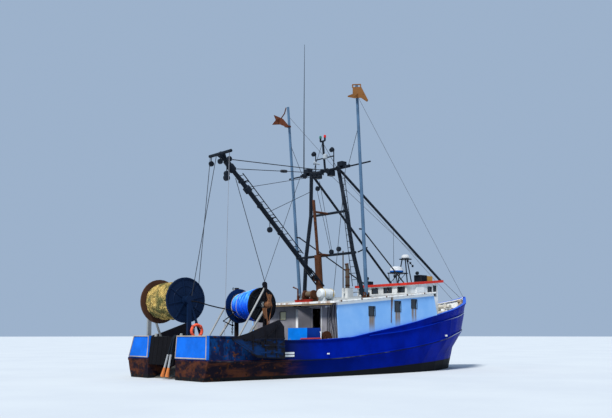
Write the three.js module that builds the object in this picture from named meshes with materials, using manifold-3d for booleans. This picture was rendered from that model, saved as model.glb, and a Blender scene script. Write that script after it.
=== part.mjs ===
// Stern trawler, about 22 m long, millimetres, +X to the bow, +Y to port, +Z up.
// The origin is on the waterline plane, on the centreline, halfway between bow and stern.
import * as THREE from 'three';
import { mergeVertices } from 'three/addons/utils/BufferGeometryUtils.js';
import Module from 'manifold-3d';

// Driving dimensions
const GAP = 0.3;              // between pieces that rest on each other
const RUN = 6;                // between pieces that move past each other
const RUNNING = 0.5;          // round a shaft in its bearing
const STERN = -10970;
const STEP_X = -1560;         // the raised foredeck begins here
const CAMBER = 60;
const PLATE = 90;             // bulwark and house side
const WALL = 70;              // wheelhouse wall
const RAMP = { starboard: -800, port: 1430 };
const HOUSE = { aft: -3600, fore: 3700, half: 3185, bulkhead: -3300, roofAft: 3560, slope: 0.092 };
const WHEEL = { aft: 3100, fore: 5800, half: 1870, roof: 4641, slope: 0.09 };
const KEEL_Z = -2450;
const SHAFT = { x: -8600, z: -1550, radius: 60 };
const RUDDER_X = -9950;
const STOCK = 54;
const AFT_REEL = {
  x: -10500, y: 250, z: 3450, radius: 1000, half: 1020, shaft: 75, end: 1400, endPort: 2010,
};
const FORE_REEL = {
  x: -6250, y: 0, z: 3340, radius: 835, half: 850, shaft: 70, end: 1160, endPort: 1160,
};
const BOOM = { x: -2040, z: 4880, headX: -8190, headZ: 10550, pin: 40 };
const POLE = { x: -800, y: 2520, z: 3990, topX: -1570, topY: 2673, topZ: 14680, pin: 40 };

const wasm = await Module();
wasm.setup();
const { Manifold, Mesh: SolidMesh } = wasm;

// Solids from three.js geometry
function toSolid(geometry) {
  const bare = geometry.clone();
  bare.deleteAttribute('normal');
  bare.deleteAttribute('uv');
  const merged = mergeVertices(bare, 1e-3);
  return new Manifold(new SolidMesh({
    numProp: 3,
    vertProperties: new Float32Array(merged.attributes.position.array),
    triVerts: new Uint32Array(merged.index.array),
  }));
}

function toGeometry(solid) {
  const mesh = solid.getMesh();
  const geometry = new THREE.BufferGeometry();
  geometry.setAttribute('position', new THREE.BufferAttribute(new Float32Array(mesh.vertProperties), 3));
  geometry.setIndex(new THREE.BufferAttribute(new Uint32Array(mesh.triVerts), 1));
  geometry.computeVertexNormals();
  return geometry;
}

function join(...solids) {
  return solids.reduce((sum, solid) => sum.add(solid));
}

function cut(solid, ...tools) {
  return tools.reduce((rest, tool) => rest.subtract(tool), solid);
}

// A foot that reaches into its support is cut back to the support's own surface, moved by the gap.
function seat(solid, support, ...directions) {
  let rest = solid.subtract(support);
  for (const direction of directions) {
    rest = rest.subtract(support.translate(direction.map((part) => part * GAP)));
  }
  const pieces = rest.decompose();
  return pieces.reduce((most, piece) => (piece.volume() > most.volume() ? piece : most));
}

function box([x0, x1], [y0, y1], [z0, z1]) {
  const geometry = new THREE.BoxGeometry(x1 - x0, y1 - y0, z1 - z0);
  geometry.translate((x0 + x1) / 2, (y0 + y1) / 2, (z0 + z1) / 2);
  return toSolid(geometry);
}

function rod(from, to, radius, sides = 8, endRadius = radius) {
  const start = new THREE.Vector3(...from);
  const along = new THREE.Vector3(...to).sub(start);
  const geometry = new THREE.CylinderGeometry(endRadius, radius, along.length(), sides);
  geometry.translate(0, along.length() / 2, 0);
  geometry.applyQuaternion(new THREE.Quaternion().setFromUnitVectors(
    new THREE.Vector3(0, 1, 0), along.normalize()));
  geometry.translate(...from);
  return toSolid(geometry);
}

// A hole for a shaft of this radius, which clears it all round as it turns
function bore(from, to, radius) {
  const sides = radius > 50 ? 36 : 24;
  return rod(from, to, (radius + RUNNING) / Math.cos(Math.PI / sides), sides);
}

function ball(centre, radius, across = 10, down = 6) {
  const geometry = new THREE.SphereGeometry(radius, across, down);
  geometry.translate(...centre);
  return toSolid(geometry);
}

function extrude(outline, depth) {
  const shape = new THREE.Shape(outline.map(([u, v]) => new THREE.Vector2(u, v)));
  return new THREE.ExtrudeGeometry(shape, { depth, bevelEnabled: false, curveSegments: 6 });
}

// An outline in X and Z, with its thickness along Y
function sideOn(outline, [y0, y1]) {
  const geometry = extrude(outline, y1 - y0);
  geometry.rotateX(Math.PI / 2);
  geometry.translate(0, y1, 0);
  return toSolid(geometry);
}

// An outline in Y and Z, with its thickness along X
function endOn(outline, [x0, x1]) {
  const geometry = extrude(outline, x1 - x0);
  geometry.rotateX(Math.PI / 2);
  geometry.rotateZ(Math.PI / 2);
  geometry.translate(x0, 0, 0);
  return toSolid(geometry);
}

// An outline in X and Y, with its thickness along Z
function planOn(outline, [z0, z1]) {
  const geometry = extrude(outline, z1 - z0);
  geometry.translate(0, 0, z0);
  return toSolid(geometry);
}

// A profile of [radius, place along the axis], turned about the axis from `centre`
function turned(profile, axis, centre, segments) {
  const geometry = new THREE.LatheGeometry(profile.map(([r, a]) => new THREE.Vector2(r, a)), segments);
  if (axis === 'x') geometry.rotateZ(-Math.PI / 2);
  if (axis === 'z') geometry.rotateX(Math.PI / 2);
  geometry.translate(...centre);
  return toSolid(geometry);
}

// Rings of equal length, each closed, are skinned and their ends are closed by strips.
function loft(rings) {
  const size = rings[0].length;
  const index = [];
  for (let row = 0; row + 1 < rings.length; row += 1) {
    for (let column = 0; column < size; column += 1) {
      const a = row * size + column;
      const b = row * size + ((column + 1) % size);
      index.push(a, a + size, b, b, a + size, b + size);
    }
  }
  const last = (rings.length - 1) * size;
  for (let column = 0; column < size / 2; column += 1) {
    const far = (size - column) % size;
    const next = column + 1;
    const farNext = size - next;
    const corners = [column, next, farNext, far];
    for (const [a, b, c] of [[0, 1, 2], [0, 2, 3]]) {
      const triangle = [corners[a], corners[b], corners[c]];
      if (new Set(triangle).size < 3) continue;
      index.push(...triangle);
      index.push(last + triangle[0], last + triangle[2], last + triangle[1]);
    }
  }
  const geometry = new THREE.BufferGeometry();
  geometry.setAttribute('position', new THREE.Float32BufferAttribute(rings.flat(2), 3));
  geometry.setIndex(index);
  const solid = toSolid(geometry);
  return solid.volume() < 0 ? toSolid(flipped(geometry)) : solid;
}

function flipped(geometry) {
  const index = Array.from(geometry.index.array);
  for (let at = 0; at < index.length; at += 3) {
    [index[at], index[at + 1]] = [index[at + 1], index[at]];
  }
  geometry.setIndex(index);
  return geometry;
}

const mirror = (solid) => solid.mirror([0, 1, 0]);

// Lines of the hull, stern to stem. Columns: x, half-breadth, height.
function line(rows) {
  const points = rows.map((row) => new THREE.Vector3(...row));
  const curve = new THREE.CatmullRomCurve3(points, false, 'centripetal');
  return (x) => {
    let low = 0;
    let high = 1;
    for (let turn = 0; turn < 30; turn += 1) {
      const middle = (low + high) / 2;
      if (curve.getPoint(middle).x < x) low = middle;
      else high = middle;
    }
    const point = curve.getPoint((low + high) / 2);
    return [point.x, point.y, point.z];
  };
}

const KEEL = [
  [STERN, 0, -200], [-9600, 0, -440], [-8600, 0, -760], [-7000, 0, -1250], [-4000, 0, -1750],
  [0, 0, -1950], [4000, 0, -1900], [6500, 0, -1700], [8300, 0, -1200],
];
const CHINE = [
  [STERN, 2850, -120], [-8000, 3000, -420], [-4000, 3180, -700], [0, 3170, -820],
  [3500, 2750, -720], [6000, 1900, -380], [8000, 850, 80], [9100, 30, 420],
];
const BELT = [
  [STERN, 3080, 380], [-8000, 3220, 300], [-4000, 3310, 300], [0, 3290, 360],
  [3000, 3030, 520], [5500, 2350, 780], [7500, 1350, 1000], [9390, 30, 1170],
];
const RAIL = [
  [STERN, 3190, 910], [-8000, 3310, 850], [-4000, 3380, 895], [0, 3380, 1170], [3000, 3250, 1500],
  [5000, 2930, 1770], [6600, 2420, 2060], [8000, 1700, 2200], [9200, 920, 2260], [10400, 30, 2310],
];
const KNUCKLE = [
  [STEP_X, 3390, 1930], [900, 3370, 2150], [3000, 3280, 2440], [4500, 3050, 2680], [6500, 2560, 2960],
  [8000, 1830, 3150], [9300, 980, 3260], [10740, 30, 3310],
];
// The step in the sheer is just forward of the quarter. Columns: x, half-breadth, height.
const SHEER_AFT = [
  [-10830, 2970, 1900], [-8950, 3150, 1870], [-8800, 3165, 1750], [-6500, 3270, 1710],
  [-4300, 3350, 1740], [-2700, 3370, 1840], [STEP_X, 3370, 2030],
];
const SHEER_FORE = [
  [STEP_X, 3370, 2030], [1800, 3350, 2580], [3800, 3260, 2980], [5000, 3080, 3190], [6400, 2750, 3440],
  [7400, 2330, 3640], [8500, 1750, 3780], [9600, 1000, 3950], [10400, 400, 4150], [10900, 30, 4330],
];

// Stations, as fractions of a line's length
const STATIONS = [0, 0.06, 0.12, 0.2, 0.3, 0.4, 0.5, 0.6, 0.68, 0.76, 0.83, 0.89, 0.94, 0.975, 1];

function along(rows, fraction) {
  const first = rows[0];
  const end = rows[rows.length - 1];
  if (fraction === 0) return first;
  if (fraction === 1) return end;
  return line(rows)(first[0] + (end[0] - first[0]) * fraction);
}

function bothSides(half) {
  const starboard = half.map(([x, y, z]) => [x, -y, z]);
  const port = half.slice(1, -1).reverse();
  return [...starboard, ...port];
}

function hullBody() {
  const rings = STATIONS.map((fraction) => {
    const [xr, yr, zr] = along(RAIL, fraction);
    return bothSides([
      along(KEEL, fraction),
      along(CHINE, fraction),
      along(BELT, fraction),
      [xr, yr, zr - 150],
      [xr, yr + 60, zr - 110],
      [xr, yr + 60, zr - 20],
      [xr, yr, zr],
      [xr, 0, zr + CAMBER],
    ]);
  });
  return loft(rings);
}

function foredeckBody() {
  const fractions = STATIONS.filter((fraction) => fraction === 0 || fraction > 0.15);
  const rings = fractions.map((fraction) => {
    const [xk, yk, zk] = along(KNUCKLE, fraction);
    const start = (STEP_X - STERN) / (RAIL[RAIL.length - 1][0] - STERN);
    const [xr, yr, zr] = along(RAIL, fraction === 0 ? start : start + (1 - start) * fraction);
    return bothSides([
      [xr, 0, zr - 200],
      [xr, yr, zr - 60],
      [xk, yk, zk - 70],
      [xk, yk + 45, zk - 50],
      [xk, yk + 45, zk - 10],
      [xk, yk, zk],
      [xk, 0, zk + CAMBER],
    ]);
  });
  return loft(rings);
}

function keelBody() {
  const profile = [
    [SHAFT.x, -600], [SHAFT.x, KEEL_Z + 120], [-10150, KEEL_Z + 120], [-10150, KEEL_Z],
    [4800, KEEL_Z], [7300, -2050], [8350, -1450], [8350, -1000], [6000, -1400], [0, -1500], [-6500, -1000],
  ];
  const stem = [
    [7900, -1700], [8700, -800], [9010, 20], [9150, 410], [9430, 1170], [9820, 1710], [10440, 2300],
    [10320, 2300], [9710, 1750], [9310, 1200], [9030, 430], [8880, 0], [8400, -800], [7400, -1400],
  ];
  const tube = rod([SHAFT.x + 900, 0, SHAFT.z], [SHAFT.x - 60, 0, SHAFT.z], 170, 12);
  return join(sideOn(profile, [-150, 150]), sideOn(stem, [-60, 60]), tube);
}

function stockHole() {
  return bore([RUDDER_X, 0, KEEL_Z + 60], [RUDDER_X, 0, 500], STOCK);
}

function shaftHole() {
  return bore([SHAFT.x - 100, 0, SHAFT.z], [SHAFT.x + 500, 0, SHAFT.z], SHAFT.radius);
}

function rampCut() {
  const slope = [
    [-8600, 1100], [STERN - 100, 1100], [STERN - 100, -20], [-10700, -20], [-9000, 800], [-8600, 850],
  ];
  return sideOn(slope, [RAMP.starboard, RAMP.port]);
}

const hull = cut(join(hullBody(), foredeckBody(), keelBody()), rampCut(), stockHole(), shaftHole());

// Bulwarks: a ring of four points per station, from the deck edge to the cap
function wallRing([xb, yb, zb], [xt, yt, zt]) {
  const out = 40;
  const inward = PLATE + 110;
  return [
    [xb, -yb, zb - 8], [xt, -yt, zt - 60], [xt, -yt - out, zt - 55], [xt, -yt - out, zt],
    [xt, -yt + inward, zt], [xt, -yt + inward, zt - 55], [xt, -yt + PLATE, zt - 60],
    [xb, -yb + PLATE, zb - 8],
  ];
}

// The transom panels lean forward from the ledge to the rail, and the bulwarks end on their inner face.
const TRANSOM = { foot: -10990, lean: 150, thick: 110, low: 905, high: 1900 };
const transomX = (z) => {
  const share = (z - TRANSOM.low) / (TRANSOM.high - TRANSOM.low);
  return TRANSOM.foot + TRANSOM.thick + share * TRANSOM.lean;
};

function aftBulwark() {
  const rings = SHEER_AFT.map((row) => wallRing(line(RAIL)(row[0]), row));
  rings[0] = rings[0].map(([, y, z]) => [transomX(z) + GAP, y, z]);
  return seat(loft(rings), hull, [0, 0, 1]);
}

const BOW_STATIONS = STATIONS.filter((fraction) => fraction < 0.01 || fraction > 0.1);

function bowBulwark() {
  const starboard = BOW_STATIONS.slice(0, -1).map((fraction) => (
    wallRing(along(KNUCKLE, fraction), along(SHEER_FORE, fraction))));
  const port = starboard.map((ring) => ring.map(([x, y, z]) => [x, -y, z])).reverse();
  const [xb, , zb] = KNUCKLE[KNUCKLE.length - 1];
  const [xt, , zt] = SHEER_FORE[SHEER_FORE.length - 1];
  const thick = PLATE * 2;
  const stem = [
    [xb, 0, zb - 8], [xt, 0, zt - 60], [xt + 55, 0, zt - 55], [xt + 55, 0, zt],
    [xt - thick, 0, zt], [xt - thick, 0, zt - 55], [xt - thick, 0, zt - 60], [xb - thick, 0, zb - 8],
  ];
  return seat(loft([...starboard, stem, ...port]), hull, [0, 0, 1]);
}

const bulwarkStarboard = cut(aftBulwark(), box([STEP_X - GAP, 0], [-4000, 0], [0, 3000]));
const bulwarkPort = mirror(bulwarkStarboard);
const bulwarkBow = bowBulwark();

// Each edge beside the ramp and each outer edge slants. Columns: height, inner edge, outer edge.
function transomPanel(edges) {
  const rings = edges.map(([z, inner, reach]) => {
    const front = transomX(z);
    const back = front - TRANSOM.thick;
    return [[back, inner, z], [back, reach, z], [front, reach, z], [front, inner, z]];
  });
  return seat(loft(rings), hull, [0, 0, 1]);
}

const transomStarboard = transomPanel([
  [TRANSOM.low, RAMP.starboard - 10, -3165], [TRANSOM.high, RAMP.starboard + 140, -2965],
]);
const transomPort = transomPanel([
  [TRANSOM.low, RAMP.port + 50, 3165], [TRANSOM.high, RAMP.port + 140, 2965],
]);

// House: side panels stand on the bulwark cap, under the roof.
const roofZ = (x) => HOUSE.roofAft + (x - HOUSE.aft) * HOUSE.slope;

// Windows of the house sides and of the wheelhouse sides. Columns: x0, x1, z0, z1.
const HOUSE_WINDOWS = [[-1450, -980, 2870, 3340], [480, 960, 3110, 3650], [1780, 2250, 3310, 3780]];
const WHEEL_WINDOWS = [[4900, 5240, 4320, 4630], [5400, 5630, 4120, 4710]];
// Windows of the wheelhouse's aft wall, then of its front. Columns: y0, y1, z0, z1.
const AFT_WINDOWS = [[-1730, -1210, 4270, 4560], [-790, -505, 4270, 4560], [-465, -180, 4270, 4560],
  [250, 730, 4270, 4560], [1210, 1730, 4270, 4560]];
const FRONT_WINDOWS = [-1400, -700, 0, 700, 1400].map((y) => [y - 300, y + 300, 4100, 4680]);

function sidePanel(windows, outline, y) {
  let panel = sideOn(outline, [y, y + PLATE]);
  for (const [x0, x1, z0, z1] of windows) {
    panel = panel.subtract(box([x0, x1], [y - 50, y + PLATE + 50], [z0, z1]));
  }
  return panel;
}

// The cap's top is level across, so its height goes by x alone.
const CAP = [...SHEER_AFT.slice(0, -1), ...BOW_STATIONS.map((fraction) => along(SHEER_FORE, fraction))];

function capHeight(x) {
  const next = CAP.findIndex((row) => row[0] >= x);
  const [x0, , z0] = CAP[next - 1];
  const [x1, , z1] = CAP[next];
  return z0 + ((z1 - z0) * (x - x0)) / (x1 - x0) + GAP;
}

function houseOutline() {
  const low = HOUSE.aft + 120;
  const high = HOUSE.fore + 240;
  const between = CAP.filter(([x]) => x > low && x < high).map(([x, , z]) => [x, z + GAP]);
  const under = [HOUSE.fore - 60, HOUSE.aft].map((x) => [x, roofZ(x) - PLATE - GAP]);
  return [[low, capHeight(low)], ...between, [high, capHeight(high)], ...under];
}

const houseStarboard = sidePanel(HOUSE_WINDOWS, houseOutline(), -HOUSE.half - PLATE);
const housePort = mirror(houseStarboard);

function houseRoof() {
  const x0 = HOUSE.aft - 250;
  const x1 = HOUSE.fore + 100;
  const outline = [[x0, roofZ(x0) - 90], [x1, roofZ(x1) - 90], [x1, roofZ(x1)], [x0, roofZ(x0)]];
  const slab = sideOn(outline, [-HOUSE.half - 150, HOUSE.half + 150]);
  const inner = WHEEL.half - WALL - 100;
  return cut(slab, box([WHEEL.aft + WALL + 200, HOUSE.fore + 400], [-inner, inner], [3000, 5000]));
}

const roof = houseRoof();

// The bulkhead is narrower below the bulwark's cap.
function aftBulkhead() {
  const x = HOUSE.bulkhead;
  const half = HOUSE.half - GAP;
  const low = HOUSE.half - 40;
  const step = capHeight(x + WALL);
  const top = roofZ(x) - PLATE - GAP;
  const right = [[low, 700], [low, step], [half, step], [half, top]];
  const left = right.map(([y, z]) => [-y, z]).reverse();
  const door = box([x - 10, x + WALL + 10], [-1770, -1160], [1100, 3230]);
  const window = box([x - 10, x + WALL + 10], [800, 1280], [2700, 3120]);
  return seat(cut(endOn([...right, ...left], [x, x + WALL]), door, window), hull, [0, 0, 1]);
}

const bulkheadAft = aftBulkhead();

// The house's front closes each wing beside the wheelhouse.
function houseFront() {
  const x = HOUSE.fore - 220;
  const step = capHeight(x + WALL);
  const outer = HOUSE.half - GAP;
  const low = HOUSE.half - 140;
  const inner = WHEEL.half + GAP;
  const outline = [[inner, 2200], [low, 2200], [low, step], [outer, step], [outer, roofZ(x) - PLATE - GAP],
    [inner, roofZ(x) - PLATE - GAP]];
  return seat(endOn(outline, [x, x + WALL]), hull, [0, 0, 1]);
}

const frontPort = houseFront();

// Wheelhouse: it stands on the forward edge of the house roof, and its lower part on the raised deck.
const wheelZ = (x) => WHEEL.roof + (x - WHEEL.aft) * WHEEL.slope;

function wheelSide(side) {
  const y = -WHEEL.half;
  const outline = [
    [WHEEL.aft, 3900], [HOUSE.fore - 220, 3900], [HOUSE.fore - 220, 2200], [WHEEL.fore, 2200],
    [WHEEL.fore, wheelZ(WHEEL.fore) - GAP], [WHEEL.aft, wheelZ(WHEEL.aft) - GAP],
  ];
  const doorway = box([3900, 4520], [y - 9, y + WALL + 9], [2880, 4560]);
  const wall = cut(sideOn(outline, [y, y + WALL]), doorway, ...WHEEL_WINDOWS.map(([x0, x1, z0, z1]) => (
    box([x0, x1], [y - 9, y + WALL + 9], [z0, z1]))));
  const handed = side < 0 ? wall : mirror(wall);
  return seat(seat(handed, roof, [0, 0, 1], [0, 0, -1], [1, 0, 0]), hull, [0, 0, 1]);
}

function endWall(x, foot, windows, support) {
  const inner = WHEEL.half - WALL - GAP;
  const wall = box([x, x + WALL], [-inner, inner], [foot, wheelZ(x) - GAP]);
  const panes = windows.map(([y0, y1, z0, z1]) => box([x - 9, x + WALL + 9], [y0, y1], [z0, z1]));
  return seat(cut(wall, ...panes), support, [0, 0, 1]);
}

// The roof carries a strut on each side that steadies the raised outrigger at mid-height.
const CRUTCH = { x: -960, y: 2400, z: 7300 };

function wheelRoof() {
  const x0 = WHEEL.aft - 120;
  const x1 = WHEEL.fore + 430;
  const thick = 140;
  const outline = [[x0, wheelZ(x0)], [x1, wheelZ(x1)], [x1, wheelZ(x1) + thick], [x0, wheelZ(x0) + thick]];
  const struts = [-1, 1].flatMap((side) => [
    rod([3500, side * 1400, wheelZ(3500) + 60], [CRUTCH.x, side * CRUTCH.y, CRUTCH.z], 36, 6),
    rod([CRUTCH.x - 190, side * CRUTCH.y, CRUTCH.z], [CRUTCH.x + 60, side * CRUTCH.y, CRUTCH.z], 42, 6),
  ]);
  return join(sideOn(outline, [-WHEEL.half - 90, WHEEL.half + 90]), ...struts);
}

const topRoof = wheelRoof();

// A leaf with two barrels on its hinge line, at its place when shut
function doorLeaf(hinge, width, [z0, z1]) {
  const half = 20;
  const [x, y] = hinge;
  let leaf = box([x - half, x + half], [y + width, y], [z0, z1]);
  const barrel = half + RUN - GAP;
  for (const z of [z0 + 250, z1 - 370]) leaf = leaf.add(rod([x, y, z], [x, y, z + 120], barrel, 12));
  return leaf;
}

function turnAbout(solid, [x, y], degrees) {
  return solid.translate([-x, -y, 0]).rotate([0, 0, degrees]).translate([x, y, 0]);
}

const HOUSE_DOOR = [HOUSE.bulkhead - 20 - RUN, -1130];
const houseDoor = turnAbout(doorLeaf(HOUSE_DOOR, -670, [1080, 3260]), HOUSE_DOOR, -150);
const WHEEL_DOOR = [4550, -WHEEL.half - 20 - RUN];

function wheelDoor() {
  const leaf = doorLeaf([0, 0], -680, [2860, 4590]);
  return leaf.rotate([0, 0, -90]).translate([...WHEEL_DOOR, 0]);
}

const doorStarboard = wheelDoor();

// Gantry: an A-shaped portal that stands on the house roof and leans aft. Its knees are where the legs bend.
const HEAD = { x: -1290, z: 10630, half: 1870 };
const KNEES = [[-1000, 1790, 6140], [-1040, 1360, 8360]];

function gantryFrame() {
  const [low, middle] = KNEES;
  const bar = 11350;
  const spread = HEAD.half + 1250;
  const parts = [
    rod([HEAD.x, -HEAD.half, HEAD.z], [HEAD.x, HEAD.half, HEAD.z], 85),
    rod([low[0], -low[1] - 190, low[2]], [low[0], low[1] + 340, low[2]], 70),
    rod([middle[0], -middle[1], middle[2]], [middle[0], middle[1], middle[2]], 70),
    rod([HEAD.x + 40, 0, HEAD.z], [-1430, 0, 12280], 60),
    rod([-1430, -170, 12250], [-1430, 170, 12250], 45, 8),
    rod([HEAD.x, -700, bar], [HEAD.x, 700, bar], 35, 6),
  ];
  for (const side of [-1, 1]) {
    const knees = KNEES.map(([x, y, z]) => [x, side * y, z]);
    parts.push(
      rod([HEAD.x, side * 700, bar], [HEAD.x, side * 700, HEAD.z], 30, 6),
      rod([HEAD.x + 60, side * (HEAD.half - 50), HEAD.z], [HEAD.x + 230, side * spread, HEAD.z + 60], 30, 6),
      rod([-710, side * 2264, 3790], knees[0], 110),
      rod(knees[0], knees[1], 105),
      rod(knees[1], [HEAD.x, side * 1040, HEAD.z], 100),
      ball(knees[0], 112, 8, 6),
      ball(knees[1], 107, 8, 6),
      box([HEAD.x - 170, HEAD.x + 170], [side * 1300 - 180, side * 1300 + 180], [HEAD.z + 60, HEAD.z + 300]),
      box([HEAD.x - 150, HEAD.x + 150], [side * 500 - 150, side * 500 + 150], [HEAD.z - 330, HEAD.z - 60]),
    );
  }
  return seat(join(...parts), roof, [0, 0, 1]);
}

const gantry = gantryFrame();

function forwardBrace(side) {
  const parts = [
    rod([6110, side * 1870, 4990], [-1210, side * 1045, 10570], 68),
    rod([5850, side * 1780, 4980], [-1120, side * 1195, 9500], 32, 6),
  ];
  return seat(seat(join(...parts), topRoof, [0, 0, 1]), gantry, [1, 0, 0]);
}

function centrePost() {
  const lower = rod([-1620, 0, 3690], [-1800, 0, 6100], 190, 10);
  const upper = rod([-1790, 0, 6000], [-2100, 0, 8980], 80, 8);
  const ears = box([BOOM.x - 60, -1650], [-60, 60], [BOOM.z - 160, BOOM.z + 160]);
  const ties = KNEES.map(([x, , z], level) => rod([level ? -2030 : -1800, 0, z], [x, 0, z], 60));
  const post = join(lower, upper, ears, ...ties);
  return seat(seat(post, roof, [0, 0, 1]), gantry, [-1, 0, 0]);
}

const boomPin = [[BOOM.x, -150, BOOM.z], [BOOM.x, 150, BOOM.z]];
const post = cut(centrePost(), bore([BOOM.x, -200, BOOM.z], [BOOM.x, 200, BOOM.z], BOOM.pin));

// Boom: two cheeks round the post's lug, a tapered spar, a ladder on top and a T-bar at the head
function boomSpar() {
  const rise = new THREE.Vector2(BOOM.headX - BOOM.x, BOOM.headZ - BOOM.z).normalize();
  const at = (distance, up = 0, y = 0) => [
    BOOM.x + rise.x * distance + rise.y * up, y, BOOM.z + rise.y * distance - rise.x * up,
  ];
  const across = (distance, up, half, radius, sides) => (
    rod(at(distance, up, -half), at(distance, up, half), radius, sides));
  const length = Math.hypot(BOOM.headX - BOOM.x, BOOM.headZ - BOOM.z);
  const rail = { up: 240, half: 170, from: 1500, to: length - 1500 };
  const parts = [
    rod(at(350), at(length), 125, 10, 105),
    rod(at(length - 1150), at(length - 500), 165, 8, 150),
    across(length - 60, 0, 860, 80, 8),
    rod(...boomPin, BOOM.pin, 16),
  ];
  for (const side of [-1, 1]) {
    parts.push(
      rod(at(0, 0, side * 66.3), at(0, 0, side * 125), 120, 12),
      rod(at(0, 0, side * 96), at(450, 0, side * 96), 29, 4),
      rod(at(rail.from, rail.up, side * rail.half), at(rail.to, rail.up, side * rail.half), 24, 4),
    );
  }
  for (let place = rail.from + 100; place < rail.to; place += 430) {
    parts.push(across(place, rail.up, rail.half, 18, 4));
  }
  for (const place of [1700, 4000, 6400]) {
    parts.push(rod(at(place), at(place, rail.up), 30, 4), across(place, rail.up, rail.half, 30, 4));
  }
  return join(...parts);
}

const boom = boomSpar();

// Outriggers: poles hinged on brackets at the roof edge, with a paravane at each top
function outriggerPole(extra) {
  const foot = [POLE.x, -POLE.y, POLE.z];
  const top = [POLE.topX, -POLE.topY, POLE.topZ];
  return join(
    rod(foot, top, 95 + extra, 10, 70 + extra),
    rod([POLE.x - 130, -POLE.y, POLE.z], [POLE.x + 130, -POLE.y, POLE.z], POLE.pin, 16),
  );
}

function poleBracket() {
  const ears = [];
  const sunk = roofZ(POLE.x) - 50;
  for (const side of [-1, 1]) {
    const x = POLE.x + side * 125;
    ears.push(box([x - 20, x + 20], [-POLE.y - 90, -POLE.y + 90], [sunk, POLE.z + 90]));
  }
  const plate = box([POLE.x - 220, POLE.x + 220], [-POLE.y - 150, -POLE.y + 110], [sunk, sunk + 95]);
  const hole = bore([POLE.x - 300, -POLE.y, POLE.z], [POLE.x + 300, -POLE.y, POLE.z], POLE.pin);
  return seat(cut(join(plate, ...ears), hole), roof, [0, 0, 1]);
}

// A paravane is a swept wing aft of the pole, with a fin, a bent handle and a clamp round the pole.
// Outline and handle are in Y and Z from the pole's top; the clamp's height counts from there too.
const BIRD_STARBOARD = {
  wing: [[110, -130], [-460, -260], [-920, -1040], [-860, -1120], [-450, -820], [40, -730], [470, -570],
    [470, -510], [110, -490]],
  handle: [[130, -170], [140, 0], [-420, -120], [-440, -300]],
  fin: -250,
  clamp: -400,
};
const BIRD_PORT = {
  wing: [[1050, -260], [610, -470], [260, -660], [-220, -1150], [-170, -1240], [520, -920], [1190, -800],
    [870, -590]],
  handle: [[430, -600], [130, -370], [0, -80]],
  fin: 560,
  clamp: -1080,
};

function paravane({ wing, handle, fin, clamp }, side) {
  const x = POLE.topX - 150;
  const y = side * POLE.topY;
  const z = POLE.topZ;
  const parts = [
    endOn(wing.map(([dy, dz]) => [y + dy, z + dz]), [x - 25, x + 25]),
    sideOn([[x - 320, z - 760], [x + 20, z - 760], [x + 20, z - 520]], [y + fin - 20, y + fin + 20]),
    box([x - 20, POLE.topX + 130], [y - 110, y + 110], [z + clamp - 80, z + clamp]),
  ];
  for (let step = 1; step < handle.length; step += 1) {
    const [from, to] = [handle[step - 1], handle[step]].map(([dy, dz]) => [x, y + dy, z + dz]);
    parts.push(rod(from, to, 32, 6), ball(to, 33, 6, 4));
  }
  const spar = side < 0 ? outriggerPole(0.4) : mirror(outriggerPole(0.4));
  return cut(join(...parts), spar);
}

const pole = outriggerPole(0);
const bracketStarboard = poleBracket();
const birdStarboard = paravane(BIRD_STARBOARD, -1);
const birdPort = paravane(BIRD_PORT, 1);

// Reels: shaft, drum and flanges turned in one; the net is a piece of its own on the drum
function reel({ x, y, z, radius, half, shaft, end, endPort }, drum) {
  const flange = 40;
  const rim = 30;
  return turned([
    [0, -end], [shaft, -end], [shaft, -half - flange], [radius - 60, -half - flange],
    [radius - 60, -half - flange - rim], [radius, -half - flange - rim], [radius, -half], [drum, -half],
    [drum, half], [radius, half], [radius, half + flange + rim], [radius - 60, half + flange + rim],
    [radius - 60, half + flange], [shaft, half + flange], [shaft, endPort], [0, endPort],
  ], 'y', [x, y, z], 32);
}

function netOn({ x, y, z, half }, drum, swell) {
  const inner = drum + 1;
  const rows = [[inner, -half + GAP]];
  for (const [radius, place] of swell) rows.push([radius, place * half]);
  rows.push([inner, half - GAP]);
  rows.push([inner, -half + GAP]);
  return turned(rows, 'y', [x, y, z], 32);
}

const aftReel = reel(AFT_REEL, 230);
const aftNet = netOn(AFT_REEL, 230, [[760, -0.99], [880, -0.5], [860, 0], [890, 0.5], [740, 0.99]]);
const foreReel = reel(FORE_REEL, 200);
const foreNet = netOn(FORE_REEL, 200, [[640, -0.99], [800, -0.6], [790, 0], [800, 0.6], [650, 0.99]]);

// Stands: a post and two braces on each side, with a bearing round the shaft end
function reelStand(place, side, { spread, rise, thick }) {
  const { x, z, shaft, end, endPort } = place;
  const foot = 700;
  const y = place.y + (side < 0 ? 60 - end : endPort - 60);
  const parts = [
    box([x - 90, x + 90], [y - 60, y + 60], [foot, z + rise]),
    rod([x + 40, y, z - 100], [x + spread, y, foot], thick, 6),
    turned([[0, -60], [190, -60], [190, 60], [0, 60]], 'y', [x, y, z], 16),
  ];
  return seat(cut(join(...parts), bore([x, y - 200, z], [x, y + 200, z], shaft)), hull, [0, 0, 1]);
}

const AFT_STAND = { spread: 1100, rise: 150, thick: 60 };
const FORE_STAND = { spread: -1900, rise: 900, thick: 60 };
const aftStandStarboard = reelStand(AFT_REEL, -1, AFT_STAND);
const aftStandPort = reelStand(AFT_REEL, 1, AFT_STAND);
const foreStandStarboard = reelStand(FORE_REEL, -1, FORE_STAND);
const foreStandPort = reelStand(FORE_REEL, 1, FORE_STAND);

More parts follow.
